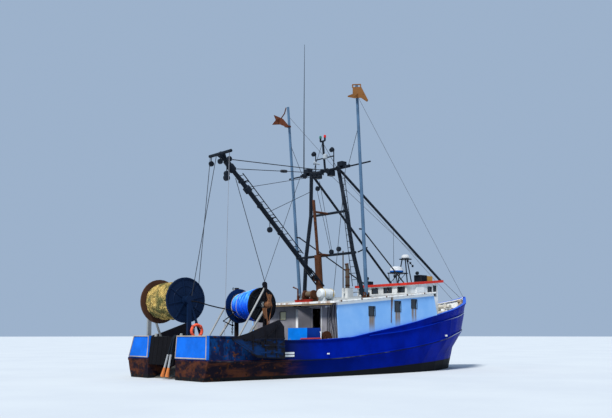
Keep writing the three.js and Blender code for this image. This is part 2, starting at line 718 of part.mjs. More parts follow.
// Trawl door: an oval plate with two stiffeners, hung outside the bulwark
function trawlDoor() {
  const y = -3500;
  const outline = new THREE.Shape();
  outline.moveTo(-9990, 1760);
  outline.lineTo(-9150, 1970);
  outline.lineTo(-7420, 2580);
  outline.lineTo(-7150, 2300);
  outline.lineTo(-7080, 910);
  outline.lineTo(-8600, 990);
  outline.quadraticCurveTo(-9200, 1250, -9990, 1760);
  const points = outline.getPoints(6).slice(0, -1).map((point) => [point.x, point.y]);
  const plate = sideOn(points, [y - 40, y + 40]);
  const bars = [1150, 1450, 1750].map((z) => box([-8500, -7130], [y - 80, y - 30], [z, z + 70]));
  const hooks = [-8900, -7900].map((x) => box([x, x + 80], [y + 30, -3000], [1780, 1840]));
  return join(plate, ...bars, ...hooks);
}

// Winches: a base with two cheeks on the deck, and a drum between them
const WINCH = { x: -3830, y: -2450, z: 1750, half: 330, radius: 370, shaft: 45 };

function winchDrum() {
  const { x, y, z, half, radius, shaft } = WINCH;
  return turned([
    [0, -half - 140], [shaft, -half - 140], [shaft, -half], [radius, -half], [radius, -half + 30],
    [290, -half + 30], [300, 0], [290, half - 30], [radius, half - 30], [radius, half], [shaft, half],
    [shaft, half + 140], [0, half + 140],
  ], 'y', [x, y, z], 20);
}

function winchFrame() {
  const { x, y, z, half, shaft } = WINCH;
  const parts = [box([x - 500, x + 500], [y - half - 120, y + half + 120], [700, 1080])];
  for (const side of [-1, 1]) {
    const inner = y + side * (half + RUN);
    const span = side < 0 ? [inner - 70, inner] : [inner, inner + 70];
    parts.push(sideOn([[x - 400, 1000], [x + 400, 1000], [x + 120, z + 130], [x - 120, z + 130]], span));
  }
  const hole = bore([x, y - 600, z], [x, y + 600, z], shaft);
  return seat(cut(join(...parts), hole), hull, [0, 0, 1]);
}

// Fish tub, hatch and lid
function fishTub() {
  const outer = box([-5250, -4400], [-2950, -1600], [700, 2260]);
  const inner = box([-5190, -4460], [-2890, -1660], [1040, 2400]);
  return seat(cut(outer, inner), hull, [0, 0, 1]);
}

const HATCH = { x0: -5300, x1: -4300, half: 550, top: 1500 };

function hatchCoaming() {
  const outer = box([HATCH.x0, HATCH.x1], [-HATCH.half, HATCH.half], [700, HATCH.top]);
  const inner = box([HATCH.x0 + 60, HATCH.x1 - 60], [-HATCH.half + 60, HATCH.half - 60], [1080, 2000]);
  return seat(cut(outer, inner), hull, [0, 0, 1]);
}

const LID_PIN = { x: HATCH.x1 + 60, z: HATCH.top + 20 };
const LID_HINGES = [-350, 350];

function pinRod(y, back, radius) {
  return rod([LID_PIN.x, y - back, LID_PIN.z + 20], [LID_PIN.x, y + 60, LID_PIN.z + 20], radius, 12);
}

function hatchLid() {
  const slab = box([HATCH.x0 - 30, HATCH.x1 + 20], [-HATCH.half - 30, HATCH.half + 30],
    [HATCH.top + RUN, HATCH.top + 70]);
  const knuckles = LID_HINGES.map((y) => join(
    rod([LID_PIN.x, y - 50, LID_PIN.z + 20], [LID_PIN.x, y + 50, LID_PIN.z + 20], 30, 12),
    box([HATCH.x1, LID_PIN.x], [y - 50, y + 50], [LID_PIN.z + 10, LID_PIN.z + 40]),
  ));
  return join(slab, ...knuckles);
}

function lidBrackets(coaming) {
  const blocks = LID_HINGES.map((y) => box([HATCH.x1 - 30, LID_PIN.x + 40], [y + 50 + GAP, y + 110],
    [HATCH.top - 200, LID_PIN.z + 45]));
  const pins = LID_HINGES.map((y) => pinRod(y, 49, 12));
  const clear = box([HATCH.x0 - 40, HATCH.x1 + 30], [-700, 700], [HATCH.top, HATCH.top + 300]);
  return join(coaming, ...blocks.map((block) => cut(block, clear)), ...pins);
}

const coaming = lidBrackets(hatchCoaming());
const lid = cut(hatchLid(), ...LID_HINGES.map((y) => pinRod(y, 60, 13)));

// House-top gear: a raft in its canister on a cradle, and the exhaust with the post beside it
function raftCanister() {
  const centre = { x: -3170, y: -2050, z: 3930, radius: 255, half: 480 };
  const shell = turned([
    [0, -centre.half], [170, -centre.half], [230, -centre.half + 60], [centre.radius, -centre.half + 150],
    [centre.radius, -15], [centre.radius + 12, -15], [centre.radius + 12, 15], [centre.radius, 15],
    [centre.radius, centre.half - 150], [230, centre.half - 60], [170, centre.half], [0, centre.half],
  ], 'x', [centre.x, centre.y, centre.z], 20);
  const feet = [-280, 280].map((shift) => box([centre.x + shift - 40, centre.x + shift + 40],
    [centre.y - 200, centre.y + 200], [roofZ(centre.x) - 60, centre.z - 150]));
  return seat(join(shell, ...feet), roof, [0, 0, 1]);
}

function exhaustPipe() {
  const parts = [
    box([180, 620], [-220, 220], [3850, 4450]),
    rod([400, 0, 4400], [400, 0, 5500], 120, 12),
    rod([400, 0, 5480], [340, 0, 5780], 95, 12),
    rod([60, 0, 3850], [70, 0, 6450], 35, 6),
    box([60, 200], [-50, 50], [4150, 4230]),
  ];
  return seat(join(...parts), roof, [0, 0, 1]);
}

// Two lockers side by side on the wheelhouse roof's starboard edge
function roofLockers() {
  const dark = box([4940, 5540], [-1320, -860], [4850, 5330]);
  const light = box([5530, 6060], [-1300, -900], [4900, 5300]);
  return seat(join(dark, light), topRoof, [0, 0, 1]);
}

// Legs of the two radar stands. Columns: foot x, foot y, top x, top y, top z, radius.
const RADAR_LEGS = [
  [4350, -860, 4480, -620, 6250, 35], [4350, -140, 4480, -380, 6250, 35], [5150, -500, 4780, -500, 6250, 35],
  [3600, -780, 3480, -780, 5400, 24], [3600, -220, 3480, -220, 5400, 24],
  [3480, -780, 4300, -780, 5400, 18], [3480, -220, 4300, -220, 5400, 18],
];

const RADOMES = { upper: 6290, lower: 5440 };

function radarTower() {
  const legs = RADAR_LEGS.map(([x, y, topX, topY, topZ, radius]) => (
    rod([x, y, wheelZ(x) + 80], [topX, topY, topZ], radius, 6)));
  const shelves = [
    box([4380, 4880], [-750, -250], [6230, RADOMES.upper]),
    box([3450, 4440], [-850, -150], [5390, RADOMES.lower]),
  ];
  return seat(join(...legs, ...shelves), topRoof, [0, 0, 1]);
}

const radomeUpper = turned([
  [0, 0], [200, 0], [230, 60], [220, 170], [120, 230], [0, 240],
], 'z', [4630, -500, RADOMES.upper + GAP], 20);
const radomeLower = turned([
  [0, 0], [330, 0], [375, 90], [360, 260], [200, 350], [0, 370],
], 'z', [3850, -500, RADOMES.lower + GAP], 24);

// Windlass on the foredeck
const WINDLASS = { x: 8600, z: 3640, radius: 210, half: 260, shaft: 50 };

function windlassDrum() {
  const { x, z, radius, half, shaft } = WINDLASS;
  return turned([
    [0, -half - 330], [130, -half - 330], [110, -half - 130], [shaft, -half - 130], [shaft, -half],
    [radius, -half], [radius, -half + 40], [120, -half + 40], [120, half - 40], [radius, half - 40],
    [radius, half], [shaft, half], [shaft, half + 130], [110, half + 130], [130, half + 330],
    [0, half + 330],
  ], 'y', [x, 0, z], 16);
}

function windlassBase() {
  const { x, z, half, shaft } = WINDLASS;
  const parts = [box([x - 300, x + 300], [-half - 110, half + 110], [2900, 3380])];
  for (const side of [-1, 1]) {
    const inner = side * (half + RUN);
    const span = side < 0 ? [inner - 90, inner] : [inner, inner + 90];
    parts.push(sideOn([[x - 220, 3300], [x + 220, 3300], [x + 110, z + 120], [x - 110, z + 120]], span));
  }
  const hole = bore([x, -800, z], [x, 800, z], shaft);
  return seat(cut(join(...parts), hole), hull, [0, 0, 1]);
}

// Propeller and rudder
function propeller() {
  const x = SHAFT.x - 360;
  const hub = turned([
    [0, -260], [90, -200], [130, -60], [130, 290], [SHAFT.radius, 290], [SHAFT.radius, 700], [0, 700],
  ], 'x', [x, 0, SHAFT.z], 16);
  const parts = [hub];
  for (let blade = 0; blade < 4; blade += 1) {
    const shape = new THREE.Shape();
    shape.moveTo(-90, 60);
    shape.bezierCurveTo(-330, 350, -330, 690, 0, 700);
    shape.bezierCurveTo(330, 690, 330, 350, 90, 60);
    shape.closePath();
    const geometry = new THREE.ExtrudeGeometry(shape, { depth: 36, bevelEnabled: false, curveSegments: 6 });
    geometry.translate(0, 0, -18);
    geometry.rotateX(Math.PI / 2);
    geometry.rotateZ(0.95);
    geometry.rotateX(blade * Math.PI / 2);
    geometry.translate(x, 0, SHAFT.z);
    parts.push(toSolid(geometry));
  }
  return join(...parts);
}

function rudder() {
  const bottom = KEEL_Z + 120 + RUN;
  const outline = [
    [RUDDER_X + 330, bottom], [RUDDER_X + 330, -760], [RUDDER_X - 520, -620], [RUDDER_X - 560, bottom],
  ];
  return join(
    sideOn(outline, [-45, 45]),
    rod([RUDDER_X, 0, KEEL_Z + 70], [RUDDER_X, 0, 100], STOCK, 16),
  );
}

function lifeRing() {
  const ring = new THREE.TorusGeometry(270, 65, 8, 20);
  ring.rotateX(Math.PI / 2);
  ring.translate(-10170, AFT_REEL.y - AFT_REEL.end - 65 - GAP, 2100);
  return toSolid(ring);
}

function antenna() {
  const whip = join(
    rod([-1290, 1650, HEAD.z + 40], [-1290, 1640, 14500], 34, 6, 22),
    rod([-1290, 1640, 14400], [-1290, 1600, 18090], 22, 6, 10),
  );
  return seat(whip, gantry, [0, 0, 1]);
}

const trawler = new THREE.Group();

function add(name, solid, colour, roughness = 0.7, metalness = 0.1, pivot = [0, 0, 0]) {
  const geometry = toGeometry(solid.translate(pivot.map((part) => -part)));
  const material = new THREE.MeshStandardMaterial({ color: colour, roughness, metalness });
  const mesh = new THREE.Mesh(geometry, material);
  mesh.name = name;
  mesh.position.set(...pivot);
  trawler.add(mesh);
}

const BLUE = 0x1b3f9c;
const PANEL = 0x9fc0dc;
const WHITE = 0xe6e8e6;
const BLACK = 0x23272c;
const RUST = 0x6b4026;
const GREY = 0x8f969a;

add('hull', hull, BLUE);
add('bulwark_starboard', bulwarkStarboard, BLUE);
add('bulwark_port', bulwarkPort, BLUE);
add('bulwark_bow', bulwarkBow, BLUE);
add('transom_starboard', transomStarboard, 0x2f6fd0);
add('transom_port', transomPort, 0x2f6fd0);
add('house_side_starboard', houseStarboard, PANEL);
add('house_side_port', housePort, PANEL);
add('house_bulkhead_aft', bulkheadAft, WHITE);
add('house_front_starboard', mirror(frontPort), WHITE);
add('house_front_port', frontPort, WHITE);
add('house_roof', roof, WHITE);
add('wheelhouse_side_starboard', wheelSide(-1), WHITE);
add('wheelhouse_side_port', wheelSide(1), WHITE);
add('wheelhouse_front', endWall(WHEEL.fore - WALL, 2200, FRONT_WINDOWS, hull), WHITE);
add('wheelhouse_aft', endWall(WHEEL.aft, 3900, AFT_WINDOWS, roof), WHITE);
add('wheelhouse_roof', topRoof, 0xc23b2a);
add('house_door', houseDoor, 0x7a6a55, 0.6, 0.1, [...HOUSE_DOOR, 1080]);
add('wheelhouse_door_starboard', doorStarboard, WHITE, 0.6, 0.1, [...WHEEL_DOOR, 2860]);
add('wheelhouse_door_port', mirror(doorStarboard), WHITE, 0.6, 0.1, [WHEEL_DOOR[0], -WHEEL_DOOR[1], 2860]);
add('gantry', gantry, BLACK);
add('brace_starboard', forwardBrace(-1), BLACK);
add('brace_port', forwardBrace(1), BLACK);
add('centre_post', post, RUST);
add('boom', boom, BLACK, 0.6, 0.2, [BOOM.x, 0, BOOM.z]);
add('outrigger_starboard', pole, GREY, 0.5, 0.4, [POLE.x, -POLE.y, POLE.z]);
add('outrigger_port', mirror(pole), GREY, 0.5, 0.4, [POLE.x, POLE.y, POLE.z]);
add('pole_bracket_starboard', bracketStarboard, RUST);
add('pole_bracket_port', mirror(bracketStarboard), RUST);
add('paravane_starboard', birdStarboard, 0xd88a2c, 0.7, 0.1, [POLE.x, -POLE.y, POLE.z]);
add('paravane_port', birdPort, 0x8a3a22, 0.7, 0.1, [POLE.x, POLE.y, POLE.z]);
add('antenna', antenna(), BLACK);
add('aft_reel', aftReel, 0x1c2430, 0.6, 0.2, [AFT_REEL.x, AFT_REEL.y, AFT_REEL.z]);
add('aft_net', aftNet, 0xc7a45c, 0.9, 0, [AFT_REEL.x, AFT_REEL.y, AFT_REEL.z]);
add('aft_reel_stand_starboard', aftStandStarboard, 0x24344f);
add('aft_reel_stand_port', aftStandPort, GREY);
add('forward_reel', foreReel, 0x22262c, 0.6, 0.2, [FORE_REEL.x, 0, FORE_REEL.z]);
add('forward_net', foreNet, 0x2357c9, 0.9, 0, [FORE_REEL.x, 0, FORE_REEL.z]);
add('forward_reel_stand_starboard', foreStandStarboard, RUST);
add('forward_reel_stand_port', foreStandPort, RUST);
const doorPlate = trawlDoor();
add('trawl_door_starboard', seat(doorPlate, bulwarkStarboard, [0, -1, 0]), RUST);
add('trawl_door_port', mirror(seat(doorPlate, bulwarkStarboard, [0, -1, 0])), RUST);
const frame = winchFrame();
const drum = winchDrum();
add('winch_frame_starboard', frame, RUST);
add('winch_frame_port', mirror(frame), RUST);
add('winch_drum_starboard', drum, RUST, 0.7, 0.3, [WINCH.x, WINCH.y, WINCH.z]);
add('winch_drum_port', mirror(drum), RUST, 0.7, 0.3, [WINCH.x, -WINCH.y, WINCH.z]);
add('fish_tub', fishTub(), 0x2aa7cf);
add('hatch_coaming', coaming, GREY);
add('hatch_lid', lid, GREY, 0.6, 0.3, [LID_PIN.x, 0, LID_PIN.z + 20]);
add('raft_canister', raftCanister(), WHITE);
add('exhaust', exhaustPipe(), GREY);
add('wheelhouse_lockers', roofLockers(), 0x4a3a30);
add('radar_tower', radarTower(), WHITE);
add('radome_upper', radomeUpper, WHITE);
add('radome_lower', radomeLower, WHITE);
add('windlass_base', windlassBase(), RUST);
add('windlass_drum', windlassDrum(), RUST, 0.7, 0.3, [WINDLASS.x, 0, WINDLASS.z]);
add('propeller', propeller(), 0xa5823c, 0.4, 0.8, [SHAFT.x, 0, SHAFT.z]);
add('rudder', rudder(), 0x1d1f22, 0.7, 0.2, [RUDDER_X, 0, KEEL_Z + 120]);
add('life_ring', lifeRing(), 0xe0612a);

export default trawler;
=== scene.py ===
# Stern trawler about 22 m long, in metres: +X to the bow, +Y to port, +Z up, the water's surface at Z = 0.
import random
from math import cos, degrees, pi, radians, sin, tan

import bmesh
import bpy
from mathutils import Euler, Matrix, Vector, noise


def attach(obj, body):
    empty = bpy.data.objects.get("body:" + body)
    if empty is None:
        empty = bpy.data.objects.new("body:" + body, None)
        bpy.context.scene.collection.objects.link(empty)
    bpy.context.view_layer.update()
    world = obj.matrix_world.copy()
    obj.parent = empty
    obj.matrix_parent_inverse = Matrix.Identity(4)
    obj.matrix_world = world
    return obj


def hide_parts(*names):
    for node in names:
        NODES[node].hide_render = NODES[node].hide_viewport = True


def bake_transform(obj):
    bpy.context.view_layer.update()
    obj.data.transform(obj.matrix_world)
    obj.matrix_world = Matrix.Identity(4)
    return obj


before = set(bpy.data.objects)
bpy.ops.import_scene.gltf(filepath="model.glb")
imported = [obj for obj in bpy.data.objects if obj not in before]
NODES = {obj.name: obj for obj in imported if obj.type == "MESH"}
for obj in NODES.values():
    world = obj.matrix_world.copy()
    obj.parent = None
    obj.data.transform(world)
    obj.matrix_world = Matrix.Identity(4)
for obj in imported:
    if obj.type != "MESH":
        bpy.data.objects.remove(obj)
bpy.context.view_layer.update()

# The photograph's frame and the camera that matches it
FRAME_SIZE = (612, 418)
FOCAL_PX = 780
SENSOR = 36
CAMERA_PLACE = (-29.616, -29.66, 1.93)
CAMERA_HEADING = 42.29
CAMERA_PITCH = 6.0
HORIZON_ROW = 335

# Places on the boat that several pieces share
BOOM_PIN = Vector((-2.04, 0, 4.88))
BOOM_HEAD = Vector((-8.19, 0, 10.55))
BOOM_AXIS = BOOM_HEAD - BOOM_PIN
BOOM_LENGTH = BOOM_AXIS.length
HEAD_BAR = BOOM_LENGTH - 0.06
UP = Vector((0, 0, 1))
POLE_FOOT = Vector((-0.8, 2.52, 3.99))
POLE_TOP = Vector((-1.57, 2.673, 14.68))
AFT_REEL = Vector((-10.5, 0.25, 3.45))
FORE_REEL = Vector((-6.25, 0, 3.34))
SIDES = ((-1, "starboard"), (1, "port"))
HOUSE_SLOPE = 0.092
WHEEL_SLOPE = 0.09


def house_top(x):
    return 3.56 + (x + 3.6) * HOUSE_SLOPE


def wheel_top(x):
    return 4.781 + (x - 3.1) * WHEEL_SLOPE


def about_y(centre, radius, angle, along=0.0):
    """A place on a circle that lies across the Y axis."""
    return centre + Vector((cos(angle) * radius, along, sin(angle) * radius))


def boom_at(distance, up=0.0, y=0.0):
    rise = BOOM_AXIS.normalized()
    lift = Vector((rise.z, 0, -rise.x))
    return BOOM_PIN + rise * distance + lift * up + Vector((0, y, 0))


def boom_end(y):
    """A place on the bar across the boom's head."""
    return boom_at(HEAD_BAR, 0, y)


def place_object(name, data):
    made = bpy.data.objects.new(name, data)
    bpy.context.collection.objects.link(made)
    return made


class Tree:
    """The nodes of one material, with short names for the kinds that are used here."""

    def __init__(self, name):
        self.material = bpy.data.materials.new(name)
        self.material.use_nodes = True
        self.nodes = self.material.node_tree.nodes
        self.links = self.material.node_tree.links
        self.nodes.clear()
        self.output = self.nodes.new("ShaderNodeOutputMaterial")
        self.shader = self.nodes.new("ShaderNodeBsdfPrincipled")
        self.links.new(self.shader.outputs[0], self.output.inputs[0])
        place = self.nodes.new("ShaderNodeTexCoord")
        self.place = place.outputs["Object"]
        split = self.node("SeparateXYZ", {0: self.place})
        self.x, self.y, self.z = split.outputs
        facing = self.node("SeparateXYZ", {0: place.outputs["Normal"]})
        self.facing = facing.outputs

    def put(self, socket, value):
        if isinstance(value, bpy.types.NodeSocket):
            self.links.new(value, socket)
        elif socket.type == "RGBA" and len(value) == 3:
            socket.default_value = (*value, 1)
        else:
            socket.default_value = value

    def node(self, kind, inputs=(), **settings):
        node = self.nodes.new("ShaderNode" + kind)
        for key, value in settings.items():
            setattr(node, key, value)
        for key, value in dict(inputs).items():
            self.put(node.inputs[key], value)
        return node

    def noise(self, scale, detail=4, stretch=(1, 1, 1), shift=(0, 0, 0), rough=0.6):
        mapping = self.node("Mapping", {"Vector": self.place, "Scale": stretch, "Location": shift})
        texture = self.node("TexNoise", {"Vector": mapping.outputs[0], "Scale": scale, "Detail": detail,
                                         "Roughness": rough})
        return texture.outputs["Fac"]

    def ramp(self, value, low, high, start=0.0, end=1.0):
        node = self.node("MapRange", {"Value": value, "From Min": low, "From Max": high,
                                      "To Min": start, "To Max": end}, interpolation_type="SMOOTHSTEP")
        return node.outputs[0]

    def fall(self, value, low, high):
        return self.ramp(value, low, high, 1.0, 0.0)

    def math(self, kind, a, b=0.0, c=0.0):
        return self.node("Math", {0: a, 1: b, 2: c}, operation=kind).outputs[0]

    def scaled(self, value, factor, plus):
        return self.math("MULTIPLY_ADD", value, factor, plus)

    def times(self, *values):
        total = values[0]
        for value in values[1:]:
            total = self.math("MULTIPLY", total, value)
        return total

    def band(self, value, low, high, soft):
        rise = self.ramp(value, low - soft, low + soft)
        return self.times(rise, self.fall(value, high - soft, high + soft))

    def mix(self, factor, a, b):
        node = self.nodes.new("ShaderNodeMix")
        node.data_type = "RGBA"
        self.put(node.inputs["Factor"], factor)
        for key, value in (("A", a), ("B", b)):
            socket = next(entry for entry in node.inputs if entry.name == key and entry.type == "RGBA")
            self.put(socket, value)
        return next(entry for entry in node.outputs if entry.type == "RGBA")

    def mottle(self, scale, a, b, low=0.3, high=0.7):
        """Two colours in soft patches."""
        return self.mix(self.ramp(self.noise(scale), low, high), a, b)

    def inward(self):
        """One where a face looks toward the boat's middle."""
        return self.fall(self.times(self.facing[1], self.math("SIGN", self.y)), -0.3, -0.2)

    def bump(self, height, distance, strength=1.0, under=None):
        inputs = {"Height": height, "Distance": distance, "Strength": strength}
        if under is not None:
            inputs["Normal"] = under
        return self.node("Bump", inputs).outputs[0]

    def finish(self, colour, rough, normal=None, **sockets):
        self.put(self.shader.inputs["Base Color"], colour)
        self.put(self.shader.inputs["Roughness"], rough)
        self.put(self.shader.inputs["Specular IOR Level"], SHEEN)
        if normal is not None:
            self.put(self.shader.inputs["Normal"], normal)
        for key, value in sockets.items():
            self.put(self.shader.inputs[key.replace("_", " ")], value)
        return self.material


SHEEN = 0.06
DULL = 0.01
GRIME = (0.1, 0.085, 0.07)
RUST_DARK = (0.02, 0.01, 0.008)
RUST_MID = (0.085, 0.029, 0.012)
RUST_LIGHT = (0.24, 0.09, 0.03)
BLUE = (0.0, 0.013, 0.31)
BLUE_DEEP = (0.0, 0.008, 0.2)
NAVY = (0.005, 0.01, 0.04)
WHITE = (0.78, 0.8, 0.8)


def rust_colour(tree):
    """Brown to orange, by two sizes of noise."""
    return tree.mottle(14.0, tree.mottle(3.0, RUST_DARK, RUST_MID, 0.35, 0.65), RUST_LIGHT, 0.55, 0.75)


def weathered(tree, base, rust=0.3, streaks=0.3, rough=0.45, dirt=GRIME, scale=1.0, extra_rust=None,
              **sockets):
    """Grime that runs down, rust that breaks through the paint, and a plate that isn't quite flat."""
    grime = tree.noise(2.2 * scale, stretch=(2.6, 2.6, 0.22), shift=(3, 1, 0))
    base = tree.mix(tree.ramp(grime, 0.72 - 0.34 * streaks, 0.86, 0.0, 0.75), base, dirt)
    spots = tree.noise(5.5 * scale, detail=7, shift=(7, 2, 5), rough=0.7)
    if extra_rust is not None:
        spots = tree.scaled(extra_rust, 0.3, spots)
    breaks = tree.ramp(spots, 0.72 - 0.22 * rust, 0.78 - 0.22 * rust)
    base = tree.mix(breaks, base, rust_colour(tree))
    roughness = tree.scaled(breaks, 0.4, rough)
    plate = tree.bump(tree.noise(0.9 * scale, detail=1), 0.012)
    grain = tree.noise(30.0 * scale, detail=3)
    normal = tree.bump(tree.scaled(breaks, 0.6, grain), 0.0025, under=plate)
    return tree.finish(base, roughness, normal, **sockets)


def painted(name, colour, rust=0.3, streaks=0.3, rough=0.45, dirt=GRIME):
    """Patchy paint of one colour on steel."""
    tree = Tree(name)
    faded = tuple(channel * 0.72 for channel in colour)
    return weathered(tree, tree.mottle(1.3, colour, faded), rust, streaks, rough, dirt)


def ring_of(centre, first, second, radius, sides):
    """Points on a circle in the plane of two directions."""
    angles = [2 * pi * turn / sides for turn in range(sides)]
    return [centre + (first * cos(angle) + second * sin(angle)) * radius for angle in angles]


def skin(rings, sides, closed=False):
    """Faces between rings of points that follow one another."""
    faces = []
    for ring in range(rings if closed else rings - 1):
        low, high = ring * sides, ((ring + 1) % rings) * sides
        for turn in range(sides):
            after = (turn + 1) % sides
            faces.append((low + turn, low + after, high + after, high + turn))
    return faces


def caps(rings, sides):
    last = (rings - 1) * sides
    return [tuple(range(sides))[::-1], tuple(range(last, last + sides))]


class Kit:
    """Simple forms gathered into one mesh that rides one body."""

    def __init__(self, name, material, body="root"):
        self.name = name
        self.material = material
        self.body = body
        self.points = []
        self.faces = []

    def add(self, points, faces):
        first = len(self.points)
        self.points += [tuple(point) for point in points]
        self.faces += [tuple(first + index for index in face) for face in faces]

    def tube(self, path, radius, sides=8, closed=False):
        """A round bar along a path. The radius is one number, or one for each point."""
        path = [Vector(point) for point in path]
        radii = radius if isinstance(radius, (list, tuple)) else [radius] * len(path)
        count = len(path)
        points = []
        up = None
        for index, point in enumerate(path):
            before = path[index - 1] if index or closed else point
            after = path[(index + 1) % count] if index + 1 < count or closed else point
            along = (after - before).normalized()
            up = along.orthogonal() if up is None else up - along * up.dot(along)
            up.normalize()
            side = along.cross(up)
            points += ring_of(point, up, side, radii[index], sides)
        self.add(points, skin(count, sides, closed) + ([] if closed else caps(count, sides)))

    def box(self, centre, size, turn=(0, 0, 0)):
        spin = Euler([radians(angle) for angle in turn]).to_matrix()
        corners = [Vector(centre) + spin @ Vector((x * size[0] / 2, y * size[1] / 2, z * size[2] / 2))
                   for x in (-1, 1) for y in (-1, 1) for z in (-1, 1)]
        self.add(corners, [(0, 1, 3, 2), (4, 6, 7, 5), (0, 4, 5, 1), (2, 3, 7, 6), (0, 2, 6, 4),
                           (1, 5, 7, 3)])

    def lathe(self, profile, centre, axis=(0, 0, 1), sides=16):
        """Rows of (radius, place along the axis), turned about the axis through the centre."""
        axis = Vector(axis).normalized()
        out = axis.orthogonal().normalized()
        side = axis.cross(out)
        points = []
        for radius, place in profile:
            points += ring_of(Vector(centre) + axis * place, out, side, radius, sides)
        self.add(points, skin(len(profile), sides) + caps(len(profile), sides))

    def disc(self, hub, rim, half, centre, axis=(0, 1, 0), sides=14, bevel=0.01):
        """A round disc with a bevelled rim, half as thick to each side."""
        self.lathe([(hub, -half), (rim, bevel - half), (rim, half - bevel), (hub, half)], centre, axis, sides)

    def plate(self, outline, thick):
        """A flat plate with this outline of points in space, with its thickness to both sides."""
        outline = [Vector(point) for point in outline]
        normal = (outline[1] - outline[0]).cross(outline[2] - outline[1]).normalized() * thick / 2
        count = len(outline)
        points = [point + normal for point in outline] + [point - normal for point in outline]
        faces = [tuple(range(count)), tuple(range(2 * count - 1, count - 1, -1))]
        following = [*range(1, count), 0]
        faces += [(low, count + low, count + after, after) for low, after in enumerate(following)]
        self.add(points, faces)

    def ladder(self, low, high, across, half, pitch=0.3, radius=0.02):
        """Two rails between the ends and rungs across them."""
        low, high, across = Vector(low), Vector(high), Vector(across).normalized() * half
        for side in (-1, 1):
            self.tube([low + across * side, high + across * side], radius, 6)
        count = max(int((high - low).length / pitch), 2)
        for step in range(1, count):
            middle = low.lerp(high, step / count)
            self.tube([middle - across, middle + across], radius * 0.8, 5)

    def chain(self, start, end, wire=0.012):
        """Links that alternate between two planes."""
        start, end = Vector(start), Vector(end)
        along = (end - start).normalized()
        first = along.orthogonal().normalized()
        second = along.cross(first)
        link = wire * 7
        count = max(int((end - start).length / (link * 0.72)), 1)
        for step in range(count + 1):
            middle = start.lerp(end, step / count)
            side = first if step % 2 else second
            self.tube(ring_of(middle, along * link / 2, side * link * 0.32, 1, 6), wire, 5, closed=True)

    def done(self, sharp=35):
        data = bpy.data.meshes.new(self.name)
        data.from_pydata(self.points, [], self.faces)
        gather = bmesh.new()
        gather.from_mesh(data)
        bmesh.ops.recalc_face_normals(gather, faces=gather.faces)
        gather.to_mesh(data)
        gather.free()
        data.shade_smooth()
        data.set_sharp_from_angle(angle=radians(sharp))
        data.materials.append(self.material)
        piece = place_object(self.name, data)
        if self.body:
            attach(piece, self.body)
        return piece


def make_camera():
    data = bpy.data.cameras.new("camera")
    data.sensor_width = SENSOR
    data.lens = FOCAL_PX * SENSOR / FRAME_SIZE[0]
    pitch = radians(CAMERA_PITCH)
    data.shift_y = (HORIZON_ROW - FRAME_SIZE[1] / 2 - FOCAL_PX * tan(pitch)) / FRAME_SIZE[0]
    data.clip_end = 2000
    camera = place_object("camera", data)
    camera.location = CAMERA_PLACE
    camera.rotation_euler = (pi / 2 + pitch, 0, -radians(CAMERA_HEADING))
    bpy.context.scene.camera = camera


SUN_POWER = 4.4
SUN_WIDTH = radians(12)
SUN_COLOUR = (1.0, 0.97, 0.92)
SUN_HEADING = Vector((0.72, 0.3, -0.95))
SKY_COLOUR = (0.56, 0.74, 1.0, 1)
SKY_STRENGTH = 0.6
FLOOR_HALF = 900


def make_light():
    sun = bpy.data.lights.new("key", "SUN")
    sun.energy = SUN_POWER
    sun.angle = SUN_WIDTH
    sun.color = SUN_COLOUR
    key = place_object("key", sun)
    key.rotation_euler = SUN_HEADING.to_track_quat("-Z", "Y").to_euler()
    world = bpy.data.worlds.new("studio")
    world.use_nodes = True
    background = world.node_tree.nodes["Background"]
    background.inputs["Color"].default_value = SKY_COLOUR
    background.inputs["Strength"].default_value = SKY_STRENGTH
    bpy.context.scene.world = world
    bpy.context.scene.view_settings.view_transform = "Standard"


def make_floor():
    """The still surface that the boat floats on, shown as a plain pale floor."""
    corners = [(x * FLOOR_HALF, y * FLOOR_HALF, 0) for x, y in ((-1, -1), (1, -1), (1, 1), (-1, 1))]
    data = bpy.data.meshes.new("floor")
    data.from_pydata(corners, [], [(0, 1, 2, 3)])
    floor = place_object("floor", data)
    tree = Tree("floor")
    data.materials.append(tree.finish(tree.mottle(0.15, (0.52, 0.56, 0.6), (0.56, 0.6, 0.63)), 0.75))


def dress(name, material):
    mesh = NODES[name].data
    if not mesh.materials:
        mesh.materials.append(material)
    for index in range(len(mesh.materials)):
        mesh.materials[index] = material


# The deck's half breadth, and how it narrows from BOW_START to the stem
HALF_BEAM = 3.39
BOW_START = 0.9
BOW_RUN = 9.82
BOW_FULLNESS = 2.45


def side_blues(tree):
    """The place along the boat with a wavering edge, and the hull's two blues in patches."""
    place = tree.math("ADD", tree.x, tree.scaled(tree.noise(1.1), 1.6, -0.8))
    return place, tree.mottle(0.8, BLUE, BLUE_DEEP)


def side_wear(tree, base, end, most):
    """Dull weathering of the topsides, with more rust toward the stern."""
    return weathered(tree, base, 0.06, 0.22, 0.45, dirt=(0.001, 0.01, 0.08),
                     extra_rust=tree.ramp(tree.x, -9.0, end, most, 0.0), Specular_IOR_Level=DULL)


